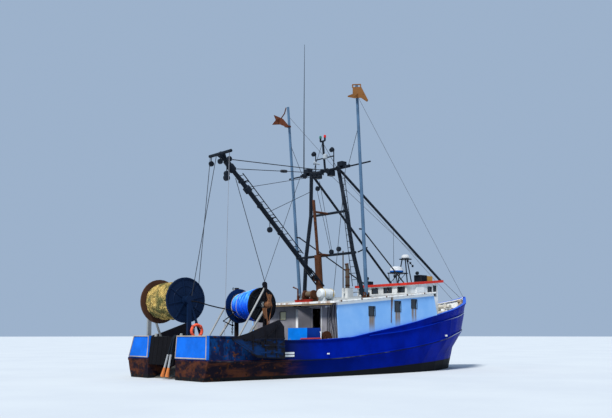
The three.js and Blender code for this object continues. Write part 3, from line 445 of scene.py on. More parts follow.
def hull_paint():
    """Deep blue forward, navy and rust on the quarter, with a boot top that rises to the bow."""
    tree = Tree("hull_paint")
    x, blue = side_blues(tree)
    side = tree.mix(tree.ramp(x, -7.2, -4.6), NAVY, blue)
    low = tree.fall(tree.z, 0.8, 0.94)
    wear = tree.ramp(tree.noise(1.8, stretch=(0.6, 1, 2)), 0.42, 0.66)
    worn_low = tree.mix(wear, (0.011, 0.008, 0.01), RUST_MID)
    side = tree.mix(tree.times(low, tree.ramp(x, -5.6, 2.0, 0.75, 0.0)), side, (0.0, 0.007, 0.085))
    side = tree.mix(tree.times(low, tree.ramp(x, -7.2, -5.4, 0.94, 0.0)), side, worn_low)
    boot_edge = tree.math("SUBTRACT", tree.z, tree.ramp(tree.x, -7.0, 8.5, 0.16, 0.6))
    side = tree.mix(tree.fall(boot_edge, -0.02, 0.02), side, (0.01, 0.011, 0.013))
    side = tree.mix(tree.fall(tree.z, -0.42, -0.36), side, (0.13, 0.02, 0.014))
    deck = tree.mottle(2.5, (0.13, 0.135, 0.125), (0.075, 0.07, 0.062), 0.35, 0.65)
    toward_bow = tree.scaled(tree.x, 1 / BOW_RUN, -BOW_START / BOW_RUN)
    bow_share = tree.math("POWER", tree.math("MAXIMUM", toward_bow, 0.0), BOW_FULLNESS)
    breadth = tree.math("ABSOLUTE", tree.y)
    inboard = tree.math("SUBTRACT", tree.scaled(bow_share, -HALF_BEAM, HALF_BEAM), breadth)
    flat = tree.times(tree.ramp(tree.facing[2], 0.8, 0.9), tree.ramp(inboard, 0.1, 0.16),
                      tree.fall(breadth, 3.12, 3.17))
    side = tree.mix(flat, side, deck)
    return side_wear(tree, side, -4.0, 0.55)


def bulwark_paint(forward):
    """The hull's colours outside, white or grey within, and a rail of its own colour."""
    tree = Tree("bulwark_fore" if forward else "bulwark_aft")
    x, blue = side_blues(tree)
    scuffs = tree.ramp(tree.noise(2.6, stretch=(1, 1, 0.5)), 0.42, 0.58)
    scuffed = tree.mix(scuffs, NAVY, (0.003, 0.034, 0.13))
    quarter = tree.mix(tree.ramp(x, -9.4, -8.4), scuffed, NAVY)
    outside = tree.mix(tree.ramp(x, -7.2, -4.6), quarter, blue)
    base = tree.mix(tree.inward(), outside, WHITE if forward else (0.1, 0.105, 0.11))
    base = tree.mix(tree.ramp(tree.facing[2], 0.5, 0.7), base, (0.03, 0.1, 0.5))
    return side_wear(tree, base, -4.5, 0.5)


def house_paint():
    """Light blue panels with rust that runs from each window, and a white strip along the top."""
    tree = Tree("house_paint")
    base = tree.mottle(0.9, (0.18, 0.4, 0.76), (0.24, 0.46, 0.8))
    base = tree.mix(tree.ramp(tree.facing[2], 0.4, 0.6), base, WHITE)
    slope = tree.scaled(tree.x, -HOUSE_SLOPE, tree.z)
    base = tree.mix(tree.ramp(slope, 3.66, 3.7), base, WHITE)
    runs = None
    for start, end, top in ((-1.45, -0.98, 2.87), (0.48, 0.96, 3.11), (1.78, 2.25, 3.31), (0.18, 0.42, 3.9)):
        below = tree.times(tree.band(tree.x, start + 0.03, end - 0.03, 0.05),
                           tree.ramp(tree.z, top - 0.95, top - 0.25), tree.fall(tree.z, top, top + 0.03))
        runs = below if runs is None else tree.math("MAXIMUM", runs, below)
    lines = tree.noise(5.0, stretch=(3.2, 1, 0.15))
    runs = tree.times(runs, tree.ramp(lines, 0.3, 0.55))
    base = tree.mix(tree.times(runs, 0.9), base, (0.2, 0.13, 0.06))
    base = tree.mix(tree.inward(), base, (0.55, 0.55, 0.52))
    return weathered(tree, base, 0.12, 0.25, 0.4)


def roof_paint():
    """White trim with a rusty edge, and a worn grey top."""
    tree = Tree("roof_paint")
    base = tree.mix(tree.ramp(tree.facing[2], 0.8, 0.9), WHITE, (0.36, 0.38, 0.38))
    edge = tree.ramp(tree.noise(2.4, stretch=(2, 2, 0.5)), 0.45, 0.65, 0.0, 0.8)
    base = tree.mix(tree.times(edge, tree.fall(tree.facing[2], 0.4, 0.5)), base, (0.33, 0.19, 0.11))
    return weathered(tree, base, 0.25, 0.3, 0.45)


def wheel_roof_paint():
    """Red edge, white underside, grey top, and black struts."""
    tree = Tree("wheel_roof_paint")
    slope = tree.scaled(tree.x, -WHEEL_SLOPE, tree.z)
    base = tree.mix(tree.ramp(tree.facing[2], 0.5, 0.7), (0.56, 0.035, 0.025), (0.36, 0.36, 0.36))
    base = tree.mix(tree.fall(tree.facing[2], -0.7, -0.5), base, WHITE)
    base = tree.mix(tree.ramp(slope, 4.51, 4.53), base, (0.02, 0.022, 0.028))
    return weathered(tree, base, 0.15, 0.2, 0.4)


def net_paint(name, main, second):
    """Bundled netting: knotted twine in crossing strands, with bits of other twine, and painted shade in the
    low places between the strands.
    """
    tree = Tree(name)
    wave = tree.node("TexWave", {"Vector": tree.place, "Scale": 5.5, "Distortion": 7.0, "Detail": 2.0})
    around = tree.noise(16.0, detail=5, stretch=(1, 3.2, 1))
    blend = tree.mix(tree.ramp(tree.noise(2.2, detail=5), 0.42, 0.6), main, second)
    shaded_gaps = tree.mix(tree.ramp(around, 0.4, 0.62, 0.75, 0.0), blend, (0.05, 0.04, 0.025))
    height = tree.math("ADD", around, tree.times(wave.outputs["Fac"], 0.5))
    return tree.finish(shaded_gaps, 0.9, tree.bump(height, 0.06, 0.9))


def glass_paint():
    """Dark glass that mirrors the sky."""
    tree = Tree("glass")
    tint = tree.mottle(1.5, (0.012, 0.016, 0.022), (0.02, 0.026, 0.034))
    return tree.finish(tint, 0.08, Specular_IOR_Level=0.7)


def tarp_paint():
    """Blue plastic sheet, with a painted highlight in cyan where it faces the sky, broken up along its
    creases.
    """
    tree = Tree("tarp_blue")
    creases = tree.noise(2.4, stretch=(1, 2.2, 1), detail=5)
    painted_highlight = tree.times(tree.ramp(tree.facing[2], -0.25, 0.75), tree.ramp(creases, 0.36, 0.58))
    base = tree.mix(painted_highlight, (0.002, 0.08, 0.8), (0.1, 0.46, 0.9))
    return weathered(tree, base, 0.0, 0.05, 0.4, scale=0.8)


def wood_paint():
    tree = Tree("timber")
    grain = tree.noise(4.0, stretch=(0.5, 6, 6), detail=5)
    tint = tree.mix(tree.ramp(grain, 0.35, 0.65), (0.3, 0.2, 0.11), (0.42, 0.31, 0.18))
    return tree.finish(tint, 0.75, tree.bump(grain, 0.004))


make_camera()
make_light()
make_floor()

BLACK_STEEL = painted("black_steel", (0.012, 0.017, 0.026), 0.12, 0.12, dirt=(0.05, 0.045, 0.04))
RUSTY = painted("rusty_steel", (0.085, 0.034, 0.018), 0.9, 0.4, 0.7, dirt=(0.04, 0.028, 0.02))
WHITE_PAINT = painted("white_paint", WHITE, 0.12, 0.25)
GREY_STEEL = painted("grey_steel", (0.26, 0.28, 0.29), 0.35, 0.4)
GREY_POLE = painted("grey_pole", (0.08, 0.15, 0.25), 0.1, 0.2, 0.4, dirt=(0.05, 0.06, 0.07))
NAVY_STEEL = painted("navy_steel", (0.005, 0.016, 0.05), 0.12, 0.12, dirt=(0.03, 0.03, 0.035))


def door_paint():
    """Black steel with what's left of its blue in the lower part."""
    tree = Tree("door_plate")
    patches = tree.ramp(tree.noise(2.4, stretch=(0.7, 1, 1.6), shift=(2, 0, 1)), 0.44, 0.56)
    low = tree.band(tree.z, 0.95, 1.72, 0.08)
    base = tree.mix(tree.times(patches, low), (0.01, 0.01, 0.014), (0.004, 0.024, 0.09))
    return weathered(tree, base, 0.22, 0.2, 0.6, dirt=(0.02, 0.016, 0.016))


def two_tone(name, axis, edge, below, above, soft=0.02, shade_by_facing=False, **wear):
    """One paint below the edge along an axis and another above it; by place, or by where the face looks, to
    paint shade on the faces that look away from the light.
    """
    tree = Tree(name)
    value = tree.facing[axis] if shade_by_facing else (tree.x, tree.y, tree.z)[axis]
    base = tree.mix(tree.ramp(value, edge - soft, edge + soft), below, above)
    faded = tree.node("VectorMath", {0: base, 1: (0.5, 0.5, 0.5)}, operation="MULTIPLY").outputs[0]
    base = tree.mix(tree.ramp(tree.noise(1.6), 0.35, 0.65, 0.0, 0.35), base, faded)
    return weathered(tree, base, **wear)


DOOR_STEEL = painted("door_steel", (0.01, 0.01, 0.014), 0.22, 0.2, 0.6, dirt=(0.02, 0.016, 0.016))
ROPE = painted("rope_pale", (0.55, 0.52, 0.44), 0.0, 0.3, 0.9)
GLOSS_WHITE = painted("gloss_white", (0.82, 0.84, 0.86), 0.0, 0.12, 0.25)
WIRE = painted("wire", (0.03, 0.034, 0.042), 0.1, 0.1, 0.5)
PALE_WIRE = painted("pale_wire", (0.22, 0.24, 0.28), 0.1, 0.1, 0.5)

WINDLASS = painted("windlass_white", (0.6, 0.58, 0.52), 0.45, 0.4, 0.6)
AFT_NET = net_paint("aft_net", (0.86, 0.62, 0.2), (0.22, 0.22, 0.08))
FORE_NET = net_paint("forward_net", (0.1, 0.2, 0.12), (0.35, 0.28, 0.14))

PAINT = {
    "hull": hull_paint(), "bulwark_bow": bulwark_paint(True),
    # The aft bulkhead is painted a darker grey as the shade under the roof's overhang.
    "house_bulkhead_aft": painted("bulkhead_painted_shade", (0.28, 0.275, 0.31), 0.2, 0.4), "house_roof": roof_paint(),
    "house_door": painted("door_grey", (0.13, 0.13, 0.15), 0.2, 0.4),
    "wheelhouse_front": WHITE_PAINT, "wheelhouse_aft": WHITE_PAINT, "wheelhouse_roof": wheel_roof_paint(),
    "gantry": BLACK_STEEL, "centre_post": RUSTY, "boom": BLACK_STEEL, "antenna": BLACK_STEEL,
    "paravane_starboard": painted("orange_paint", (0.19, 0.085, 0.028), 0.5, 0.3, 0.6),
    "paravane_port": painted("bird_brown", (0.1, 0.032, 0.016), 0.6, 0.3, 0.6),
    "aft_reel": two_tone("aft_reel_paint", 1, 0.25, (0.005, 0.015, 0.046), (0.075, 0.036, 0.024),
                         rust=0.2, streaks=0.1),
    "aft_reel_stand_starboard": NAVY_STEEL, "aft_reel_stand_port": GREY_STEEL, "aft_net": AFT_NET,
    "forward_reel": two_tone("forward_reel_paint", 1, 0.0, (0.01, 0.011, 0.015), (0.003, 0.018, 0.08),
                             rust=0.15, streaks=0.1),
    "forward_net": FORE_NET, "hatch_coaming": GREY_STEEL, "hatch_lid": GREY_STEEL,
    # The tub's faces that look to starboard are painted a dark blue as shade; its other faces take the bright
    # cyan.
    "fish_tub": two_tone("tub_blue", 1, -0.5, (0.002, 0.035, 0.26), (0.003, 0.2, 0.8), 0.2, True,
                         rust=0.0, streaks=0.15, rough=0.5),
    "raft_canister": painted("raft_white", (0.66, 0.7, 0.72), 0.22, 0.6, 0.5, (0.3, 0.3, 0.28)),
    "exhaust": two_tone("exhaust_paint", 2, 4.44, (0.6, 0.62, 0.62), (0.095, 0.075, 0.058),
                        rust=0.4, streaks=0.3),
    "wheelhouse_lockers": two_tone("locker_paint", 0, 5.535, (0.01, 0.012, 0.02), (0.5, 0.25, 0.05),
                                   rust=0.2, streaks=0.3),
    "radar_tower": BLACK_STEEL, "radome_upper": GLOSS_WHITE, "radome_lower": GLOSS_WHITE,
    "windlass_base": WINDLASS, "windlass_drum": WINDLASS, "rudder": BLACK_STEEL,
    "propeller": painted("bronze", (0.36, 0.22, 0.08), 0.0, 0.3, 0.35),
    "life_ring": painted("ring_orange", (0.85, 0.12, 0.06), 0.0, 0.2, 0.5),
}
PAIRED_PAINT = {
    "bulwark": bulwark_paint(False), "transom": painted("transom_blue", (0.006, 0.13, 0.64), 0.16, 0.2),
    "house_side": house_paint(), "house_front": WHITE_PAINT, "wheelhouse_side": WHITE_PAINT,
    "wheelhouse_door": WHITE_PAINT, "brace": BLACK_STEEL, "outrigger": GREY_POLE, "pole_bracket": RUSTY,
    "forward_reel_stand": two_tone("forward_stand_paint", 0, -6.36, (0.3, 0.31, 0.31), (0.02, 0.015, 0.015),
                                   rust=0.5, streaks=0.2),
    "trawl_door": door_paint(), "winch_frame": RUSTY, "winch_drum": RUSTY,
}
for node_name, paint in PAINT.items():
    dress(node_name, paint)
for node_name, paint in PAIRED_PAINT.items():
    for _, word in SIDES:
        dress(f"{node_name}_{word}", paint)


def stay(name, start, end, radius=0.018, to=None, material=None, block=None, steps=2):
    """A taut wire between two places; with `to`, it rides no body and its mesh is baked where it stands.

    A block sits at a share of its length, and more steps put more points along it.
    """
    start, end = Vector(start), Vector(end)
    kit = Kit(name, material or WIRE, None if to else "root")
    kit.tube([start.lerp(end, step / (steps - 1)) for step in range(steps)], radius, 6)
    if block:
        profile = [(0.02, -0.24), (0.075, -0.18), (0.085, 0), (0.075, 0.18), (0.02, 0.24)]
        kit.lathe(profile, start.lerp(end, block), end - start, 10)
    piece = kit.done()
    if to:
        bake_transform(piece)
    return piece


# Topping wires from the masthead to the boom, and what the masthead carries
stay("topping_upper", (-1.52, 0, 10.66), boom_at(BOOM_LENGTH - 0.6, 0.24), 0.022, "boom")
stay("topping_lower", (-1.52, 0, 10.5), boom_at(BOOM_LENGTH - 1.2, 0.24), 0.018, "boom", block=0.47, steps=9)

kit = Kit("masthead_gear", BLACK_STEEL)
kit.plate([(-1.36, 0, 10.74), (-1.36, 0, 10.4), (-1.6, 0, 10.46), (-1.6, 0, 10.7)], 0.03)
for side in (-1, 1):
    kit.tube([(-1.43, side * 0.17, 12.25), (-1.43, side * 0.17, 12.42)], 0.05, 8)
    kit.tube([(-1.29, side * 0.7, 11.35), (-1.29, side * 0.7, 11.62)], 0.03, 6)
    kit.lathe([(0.05, 0), (0.13, 0.05), (0.13, 0.1), (0.1, 0.22)], (-1.33, side * 0.7, 11.72),
              (-0.8, 0, -0.5))
    for y in (0.5, 1.3):
        kit.lathe([(0.06, 0), (0.14, 0.06), (0.16, 0.14), (0.15, 0.16)], (-1.47, side * y, 10.6),
                  (-0.8, 0, -0.6))
kit.ladder((-1.12, -2.05, 4.4), (-1.22, -1.2, 10.4), (0.0, 1, 0), 0.19, 0.32, 0.02)
for side in (-1, 1):
    kit.tube([(-1.22, side * 1.9, 10.634), (-1.06, side * 3.12, 10.69)], 0.042, 8)
kit.done()
for name, y, colour in (("lamp_green", 0.17, (0.03, 0.16, 0.12)), ("lamp_red", -0.17, (0.55, 0.02, 0.02))):
    kit = Kit(name, painted(name, colour, 0.0, 0.1, 0.3))
    kit.lathe([(0.04, 0), (0.065, 0.02), (0.065, 0.13), (0.04, 0.16)], (-1.43, y, 12.4))
    kit.done()
kit = Kit("masthead_horn", painted("horn_grey", (0.42, 0.48, 0.54), 0.1, 0.2, 0.4))
kit.lathe([(0.04, 0), (0.13, 0.03), (0.13, 0.22), (0.05, 0.28)], (-1.44, -0.2, 11.24))
kit.lathe([(0.03, 0), (0.05, 0.2), (0.12, 0.34), (0.12, 0.36)], (-1.42, 0.22, 11.02), (-0.6, 0.5, 0.2), 12)
kit.done()

for side, word in SIDES:
    pole = "outrigger_" + word
    foot, top = (Vector((place.x, side * place.y, place.z)) for place in (POLE_FOOT, POLE_TOP))
    stay("bow_stay_" + word, (10.2, side * 0.45, 4.15), foot.lerp(top, 0.95), 0.012, pole, PALE_WIRE)
    stay("pole_lift_" + word, (-1.29, side * 1.8, 10.72), foot.lerp(top, 0.8), 0.014, pole)

kit = Kit("boom_gear", BLACK_STEEL, "boom")
for distance in (1.5, 3.2, 5.0, 6.6):
    kit.disc(0.135, 0.155, 0.05, boom_at(distance), BOOM_AXIS, 16)
for y in (-0.72, 0.72, 0):
    kit.tube([boom_end(y), boom_end(y) - UP * 0.28], 0.02, 6)
    kit.disc(0.02, 0.13, 0.06, boom_end(y) - UP * 0.38)
kit.done()

# Windows: glass in each hole, with a dark gasket round it
HOUSE_WINDOWS = [(-1.45, -0.98, 2.87, 3.34), (0.48, 0.96, 3.11, 3.65), (1.78, 2.25, 3.31, 3.78)]
WHEEL_WINDOWS = [(4.9, 5.24, 4.32, 4.63), (5.4, 5.63, 4.12, 4.71)]
AFT_WINDOWS = [(-1.73, -1.21, 4.27, 4.56), (-0.79, -0.505, 4.27, 4.56), (-0.465, -0.18, 4.27, 4.56),
               (0.25, 0.73, 4.27, 4.56), (1.21, 1.73, 4.27, 4.56)]
FRONT_WINDOWS = [(y - 0.3, y + 0.3, 4.1, 4.68) for y in (-1.4, -0.7, 0, 0.7, 1.4)]
BULKHEAD_WINDOW = [(0.8, 1.28, 2.7, 3.12)]
PANE_GAP = 0.002
PANE_THICK = 0.012
THICK_WALL = 0.09
THIN_WALL = 0.07

glass = Kit("window_glass", glass_paint())
gasket = Kit("window_gaskets", painted("gasket", (0.012, 0.013, 0.015), 0, 0.1, 0.6))


def side_windows(panes, rows, y, thick):
    """Windows in the walls on both sides; y is the wall's outer face."""
    for x0, x1, z0, z1 in rows:
        for side in (-1, 1):
            middle = ((x0 + x1) / 2, side * (y - thick / 2), (z0 + z1) / 2)
            panes.box(middle, (x1 - x0 - PANE_GAP, PANE_THICK, z1 - z0 - PANE_GAP))
            rim = [(x0, z0), (x1, z0), (x1, z1), (x0, z1)]
            gasket.tube([(x, side * (y + 0.004), z) for x, z in rim], 0.02, 6, closed=True)


def end_windows(panes, rows, x, outward):
    for y0, y1, z0, z1 in rows:
        middle = (x - outward * THIN_WALL / 2, (y0 + y1) / 2, (z0 + z1) / 2)
        panes.box(middle, (PANE_THICK, y1 - y0 - PANE_GAP, z1 - z0 - PANE_GAP))
        rim = [(y0, z0), (y1, z0), (y1, z1), (y0, z1)]
        gasket.tube([(x + outward * 0.004, y, z) for y, z in rim], 0.018, 6, closed=True)


side_windows(glass, HOUSE_WINDOWS, 3.275, THICK_WALL)
side_windows(glass, WHEEL_WINDOWS, 1.87, THIN_WALL)
end_windows(glass, AFT_WINDOWS, 3.1, -1)
end_windows(glass, FRONT_WINDOWS, 5.8, 1)
glass.done()
curtained = Kit("curtained_pane", painted("curtain", (0.86, 0.82, 0.56), 0.0, 0.2, 0.3))
end_windows(curtained, BULKHEAD_WINDOW, -3.3, -1)
curtained.done()
gasket.done()

# Trim of the house: the roof's edge bars, door frames, and rusty pipes and fittings
kit = Kit("house_trim", WHITE_PAINT)
for side in (-1, 1):
    kit.tube([(x, side * 3.345, house_top(x) - 0.05) for x in (-3.75, 3.75)], 0.022, 6)
    rim = [(3.86, 2.84), (4.56, 2.84), (4.56, 4.6), (3.86, 4.6)]
    kit.tube([(x, side * 1.872, z) for x, z in rim[:1] + rim[3:] + rim[2:3]], 0.016, 6)
kit.tube([(-3.31, -1.87, 1.08), (-3.31, -1.87, 3.32), (-3.31, -1.02, 3.32)], 0.02, 6)
kit.done()

kit = Kit("house_fittings", RUSTY)
for side in (-1, 1):
    pipe = ((0.2, 3.285, 2.55), (0.24, 3.285, 3.6), (0.26, 3.29, house_top(0.26) - 0.12))
    kit.tube([(x, side * y, z) for x, y, z in pipe], 0.02, 6)
    for x in (-3.4, -2.0, -0.2, 1.4, 2.8):
        kit.lathe([(0.035, 0), (0.05, 0.01), (0.05, 0.02), (0.02, 0.05)],
                  (x, side * 3.34, house_top(x) - 0.03), (0, side, 0), 8)
kit.done()

# The sheltered after face of the house: beams, hoses, lamps and a hand rail
kit = Kit("shelter_beams", wood_paint())
for y in (-2.9, -2.2, -1.45, -0.75, 0.1, 1.2, 2.4):
    kit.box((-3.56, y, 3.455), (0.5, 0.09, 0.07), (0, -5.3, 0))
kit.box((-3.79, 0, 3.42), (0.06, 6.2, 0.09))
kit.done()
kit = Kit("shelter_hoses", BLACK_STEEL)
generator = random.Random(11)
for index in range(5):
    y = -2.98 + index * 0.15
    sway = generator.uniform(-0.09, 0.09)
    hose = ((-3.36, 0, 3.36), (-3.38, 1, 2.9), (-3.42, -0.6, 2.3), (-3.4, 1, 1.7), (-3.38, 0, 1.2))
    kit.tube([(x, y + sway * share, z) for x, share, z in hose], 0.02, 6)
for y in (-0.3, -0.62):
    kit.disc(0.03, 0.055, 0.09, (-3.64, y, 3.375), sides=12, bevel=0.02)
kit.done()
kit = Kit("shelter_lamps", GLOSS_WHITE)
kit.box((-3.322, -0.115, 2.76), (0.035, 0.21, 0.94))
for y in (-2.3, 2.2):
    kit.box((-3.325, y, 3.3), (0.04, 0.3, 0.08))
kit.tube([(-4.42, -2.05, 2.06), (-4.42, -3.0, 2.06)], 0.03, 8)
kit.tube([(-4.42, -2.05, 2.06), (-4.42, -2.05, 1.2)], 0.025, 8)
kit.tube([(-4.42, -3.0, 2.06), (-4.42, -3.0, 1.2)], 0.025, 8)
kit.done()

# House top: raft straps, hand winch with rope, a red hose box, pipes, and the exhaust's bands
kit = Kit("raft_straps", painted("strap", (0.62, 0.4, 0.03), 0.2, 0.2, 0.6))
for x in (-3.45, -2.89):
    kit.tube(ring_of(Vector((x, -2.05, 3.93)), Vector((0, 1, 0)), UP, 0.262, 16), 0.012, 5, closed=True)
kit.lathe([(0.03, 0), (0.06, 0.015), (0.06, 0.05), (0.02, 0.07)], (-2.69, -2.05, 3.97), (1, 0, 0), 10)
kit.done()
kit = Kit("roof_winch", RUSTY)
roof = house_top(-3.3)
WINCH = Vector((-3.35, -1.05, roof + 0.36))
kit.box((-3.35, -1.05, roof + 0.05), (0.62, 0.62, 0.1))
for y in (-1.32, -0.78):
    outline = ((-3.6, 0.1), (-3.1, 0.1), (-3.25, 0.5), (-3.45, 0.5))
    kit.plate([(x, y, roof + z) for x, z in outline], 0.04)
half_drum = [(0.11, 0.24), (0.2, 0.25), (0.2, 0.35), (0.02, 0.36)]
kit.lathe([(radius, -place) for radius, place in half_drum[::-1]] + half_drum, WINCH, (0, 1, 0))
kit.tube([(-3.6, -0.45, roof), (-3.6, -0.45, roof + 0.62), (-3.6, -0.1, roof + 0.74)], 0.04, 8)
kit.done()
kit = Kit("roof_rope", painted("rope_tan", (0.16, 0.12, 0.08), 0, 0.3, 0.9))
kit.tube([about_y(WINCH, 0.135, step * 0.42, 0.0028 * step - 0.2) for step in range(140)], 0.018, 6)
kit.done()
kit = Kit("hose_box", painted("hose_red", (0.45, 0.03, 0.02), 0.2, 0.3))
kit.box((-3.72, -1.02, house_top(-3.72) + 0.045), (0.14, 1.15, 0.09))
kit.box((-3.72, -1.02, house_top(-3.72) + 0.1), (0.18, 1.19, 0.025))
kit.done()
kit = Kit("roof_pipes", GREY_STEEL)
pipe = ((2.2, -0.01), (2.2, 0.25), (1, 0.25), (1, -0.01))
kit.tube([(x, 0.9, house_top(x) + rise) for x, rise in pipe], 0.025, 8)
pipe = ((-1.9, -0.01), (-1.9, 0.3), (-2.02, 0.36))
kit.tube([(x, 1.2, house_top(-1.9) + rise) for x, rise in pipe], 0.05, 8)
kit.done()
kit = Kit("exhaust_bands", RUSTY)
for z in (4.6, 5.05, 5.45):
    kit.disc(0.122, 0.132, 0.03, (0.4, 0, z), UP, 16, 0.005)
kit.lathe([(0.06, -0.02), (0.108, 0), (0.108, 0.04), (0.1, 0.05)], (0.345, 0, 5.74), (-0.2, 0, 1), 16)
kit.done()

# Wheelhouse top: lamps, second whip, an arm with three discs, and a box
kit = Kit("wheelhouse_gear", BLACK_STEEL)
for x, y, tall in ((4.95, -1.15, 0.42), (5.4, 0.9, 0.35), (3.25, 1.15, 0.3)):
    low = wheel_top(x)
    kit.tube([(x, y, low), (x, y, low + tall)], 0.022, 6)
    kit.lathe([(0.03, 0), (0.1, 0.02), (0.11, 0.12), (0.05, 0.17)], (x - 0.03, y, low + tall),
              (-0.5, 0, 0.7), 12)
kit.tube([(4.7, 0.45, wheel_top(4.7)), (4.7, 0.45, 8.3)], [0.016, 0.008], 6)
kit.tube([(5.1, -0.25, 6.22), (5.35, -0.25, 6.12), (5.55, -0.25, 5.96)], 0.02, 6)
for x, z in ((5.12, 6.22), (5.36, 6.1), (5.56, 5.94)):
    kit.disc(0.02, 0.07, 0.06, (x, -0.25, z), (0.6, -0.8, 0), 10)
kit.tube([(4.8, -0.5, 6.22), (5.1, -0.25, 6.22)], 0.02, 6)
kit.box((3.22, 1.1, wheel_top(3.22) + 0.09), (0.3, 0.48, 0.2))
kit.done()

# Hull: rub rails, pale fittings, anodes, and stanchions inside the bulwarks
RAIL = [(-10.95, 3.19, 0.91), (-8.0, 3.31, 0.85), (-4.0, 3.38, 0.895), (0, 3.38, 1.17), (3.0, 3.25, 1.5),
        (5.0, 2.93, 1.77), (6.6, 2.42, 2.05), (8.0, 1.7, 2.2), (9.2, 0.92, 2.26), (10.38, 0.05, 2.31)]
KNUCKLE = [(-1.56, 3.39, 1.93), (0.9, 3.37, 2.15), (3.0, 3.28, 2.44), (4.5, 3.05, 2.68), (6.5, 2.56, 2.96),
           (8.0, 1.83, 3.15), (9.3, 0.98, 3.26), (10.72, 0.05, 3.31)]


def curve(rows):
    """A smooth line through the rows, by Catmull and Rom's rule."""
    rows = [Vector(row) for row in rows]
    rows = [rows[0] * 2 - rows[1], *rows, rows[-1] * 2 - rows[-2]]
    path = []
    steps = 60 // (len(rows) - 3)
    for a, b, c, d in zip(rows, rows[1:], rows[2:], rows[3:]):
        for t in (step / steps for step in range(steps)):
            square, cube = a * 2 - b * 5 + c * 4 - d, b * 3 - a - c * 3 + d
            path.append(0.5 * (b * 2 + (c - a) * t + square * t * t + cube * t ** 3))
    path.append(rows[-2])
    return path


def rub_paint(name, ground):
    """Rubbing strips, pale toward the bow as a painted highlight, and scuffed pale in patches aft."""
    tree = Tree(name)
    patches = tree.ramp(tree.noise(0.7, shift=(4, 0, 0)), 0.52, 0.66)
    toward_bow = tree.ramp(tree.x, 4.6, 7.6)
    highlight_and_scuffs = tree.math("MAXIMUM", tree.times(patches, 0.1), toward_bow)
    base = tree.mix(highlight_and_scuffs, ground, (0.68, 0.74, 0.8))
    return weathered(tree, base, 0.05, 0.1, 0.6, dirt=(0.02, 0.02, 0.04), Specular_IOR_Level=DULL)


for name, rows, out, drop, colour in (("rub_rail", RAIL, 0.058, 0.065, (0.01, 0.012, 0.022)),
                                      ("knuckle_rail", KNUCKLE, 0.044, 0.03, (0.002, 0.022, 0.36))):
    kit = Kit(name, rub_paint(name, colour))
    for side in (-1, 1):
        kit.tube([(p.x, side * (p.y + out), p.z - drop) for p in curve(rows)], 0.02, 6)
    kit.done()

kit = Kit("hull_fittings", WHITE_PAINT)
for side in (-1, 1):
    kit.box((-6.7, side * 3.345, 1.13), (0.62, 0.02, 0.085))
    kit.box((-6.7, side * 3.345, 1.01), (0.62, 0.02, 0.085))
    kit.box((-4.35, side * 3.425, 1.07), (0.14, 0.03, 0.06))
    kit.box((5.1, side * 2.93, 1.9), (0.12, 0.1, 0.09), (0, 0, side * 14))
kit.done()
kit = Kit("anodes", painted("zinc", (0.42, 0.44, 0.46), 0.1, 0.1, 0.6))
for side in (-1, 1):
    for x, y, z in ((-9.6, 0.17, -1.9), (-6.0, 0.17, -2.1), (0.0, 0.17, -2.1), (5.0, 0.17, -2.1)):
        kit.box((x, side * y, z), (0.5, 0.06, 0.14))
for side in (-1, 1):
    kit.box((-10.1, side * 0.06, -1.5), (0.3, 0.05, 0.12))
kit.done()

kit = Kit("bulwark_stays", GREY_STEEL)
for side in (-1, 1):
    for step in range(10):
        x = -10.3 + step * 0.78
        if -9.0 < x < -8.7:
            continue
        reach = 3.02 + 0.012 * step
        outline = ((0, 1.78), (0.04, 0.92), (-0.24, 0.92), (-0.05, 1.68))
        kit.plate([(x, side * (reach + out), z) for out, z in outline], 0.02)
kit.done()

# Foredeck: chain to the windlass, bitts, an anchor and brackets inside the bow bulwark
kit = Kit("foredeck_gear", painted("deck_tan", (0.34, 0.27, 0.2), 0.55, 0.3, 0.7))
kit.chain((8.75, 0, 3.6), (10.1, 0, 3.55), 0.016)
kit.tube([(9.5, -0.25, 3.42), (10.35, -0.12, 3.95)], 0.06, 10)
kit.tube([(9.45, -0.65, 3.5), (9.42, -0.25, 3.36), (9.45, 0.15, 3.5)], [0.03, 0.07, 0.03], 8)
kit.lathe([(0.13, -0.16), (0.08, -0.1), (0.08, 0.1), (0.13, 0.16)], (10.45, 0, 4.02), (0, 1, 0), 14)
kit.done()
kit = Kit("bow_brackets", WHITE_PAINT)
for side in (-1, 1):
    for x, y, z in ((7.2, 1.5, 3.02), (-9.3, 2.5, 0.9)):
        for shift in (-0.16, 0.16):
            kit.lathe([(0.09, -0.05), (0.09, 0.4), (0.12, 0.42), (0.12, 0.46)],
                      (x + shift, side * y, z), sides=14)
        kit.tube([(x - 0.32, side * y, z + 0.28), (x + 0.32, side * y, z + 0.28)], 0.035, 8)
    for x, y, z in ((6.1, 2.45, 2.92), (7.0, 2.1, 3.0), (7.9, 1.62, 3.12), (8.8, 1.05, 3.2)):
        kit.plate([(x, side * y, z), (x, side * (y - 0.3), z), (x, side * (y + 0.02), z + 0.42)], 0.02)
kit.done()
kit = Kit("radome_band", painted("band_blue", (0.01, 0.14, 0.55), 0.0, 0.1))
kit.lathe([(0.335, 0.004), (0.382, 0.05), (0.382, 0.1), (0.37, 0.11)], (3.85, -0.5, 5.44), sides=24)
kit.done()
kit = Kit("cap_bar", painted("cap_red", (0.42, 0.05, 0.05), 0.3, 0.3))
for side in (-1, 1):
    kit.tube([(-5.95, side * 3.28, 1.755), (-4.75, side * 3.33, 1.775)], 0.035, 8)
kit.done()

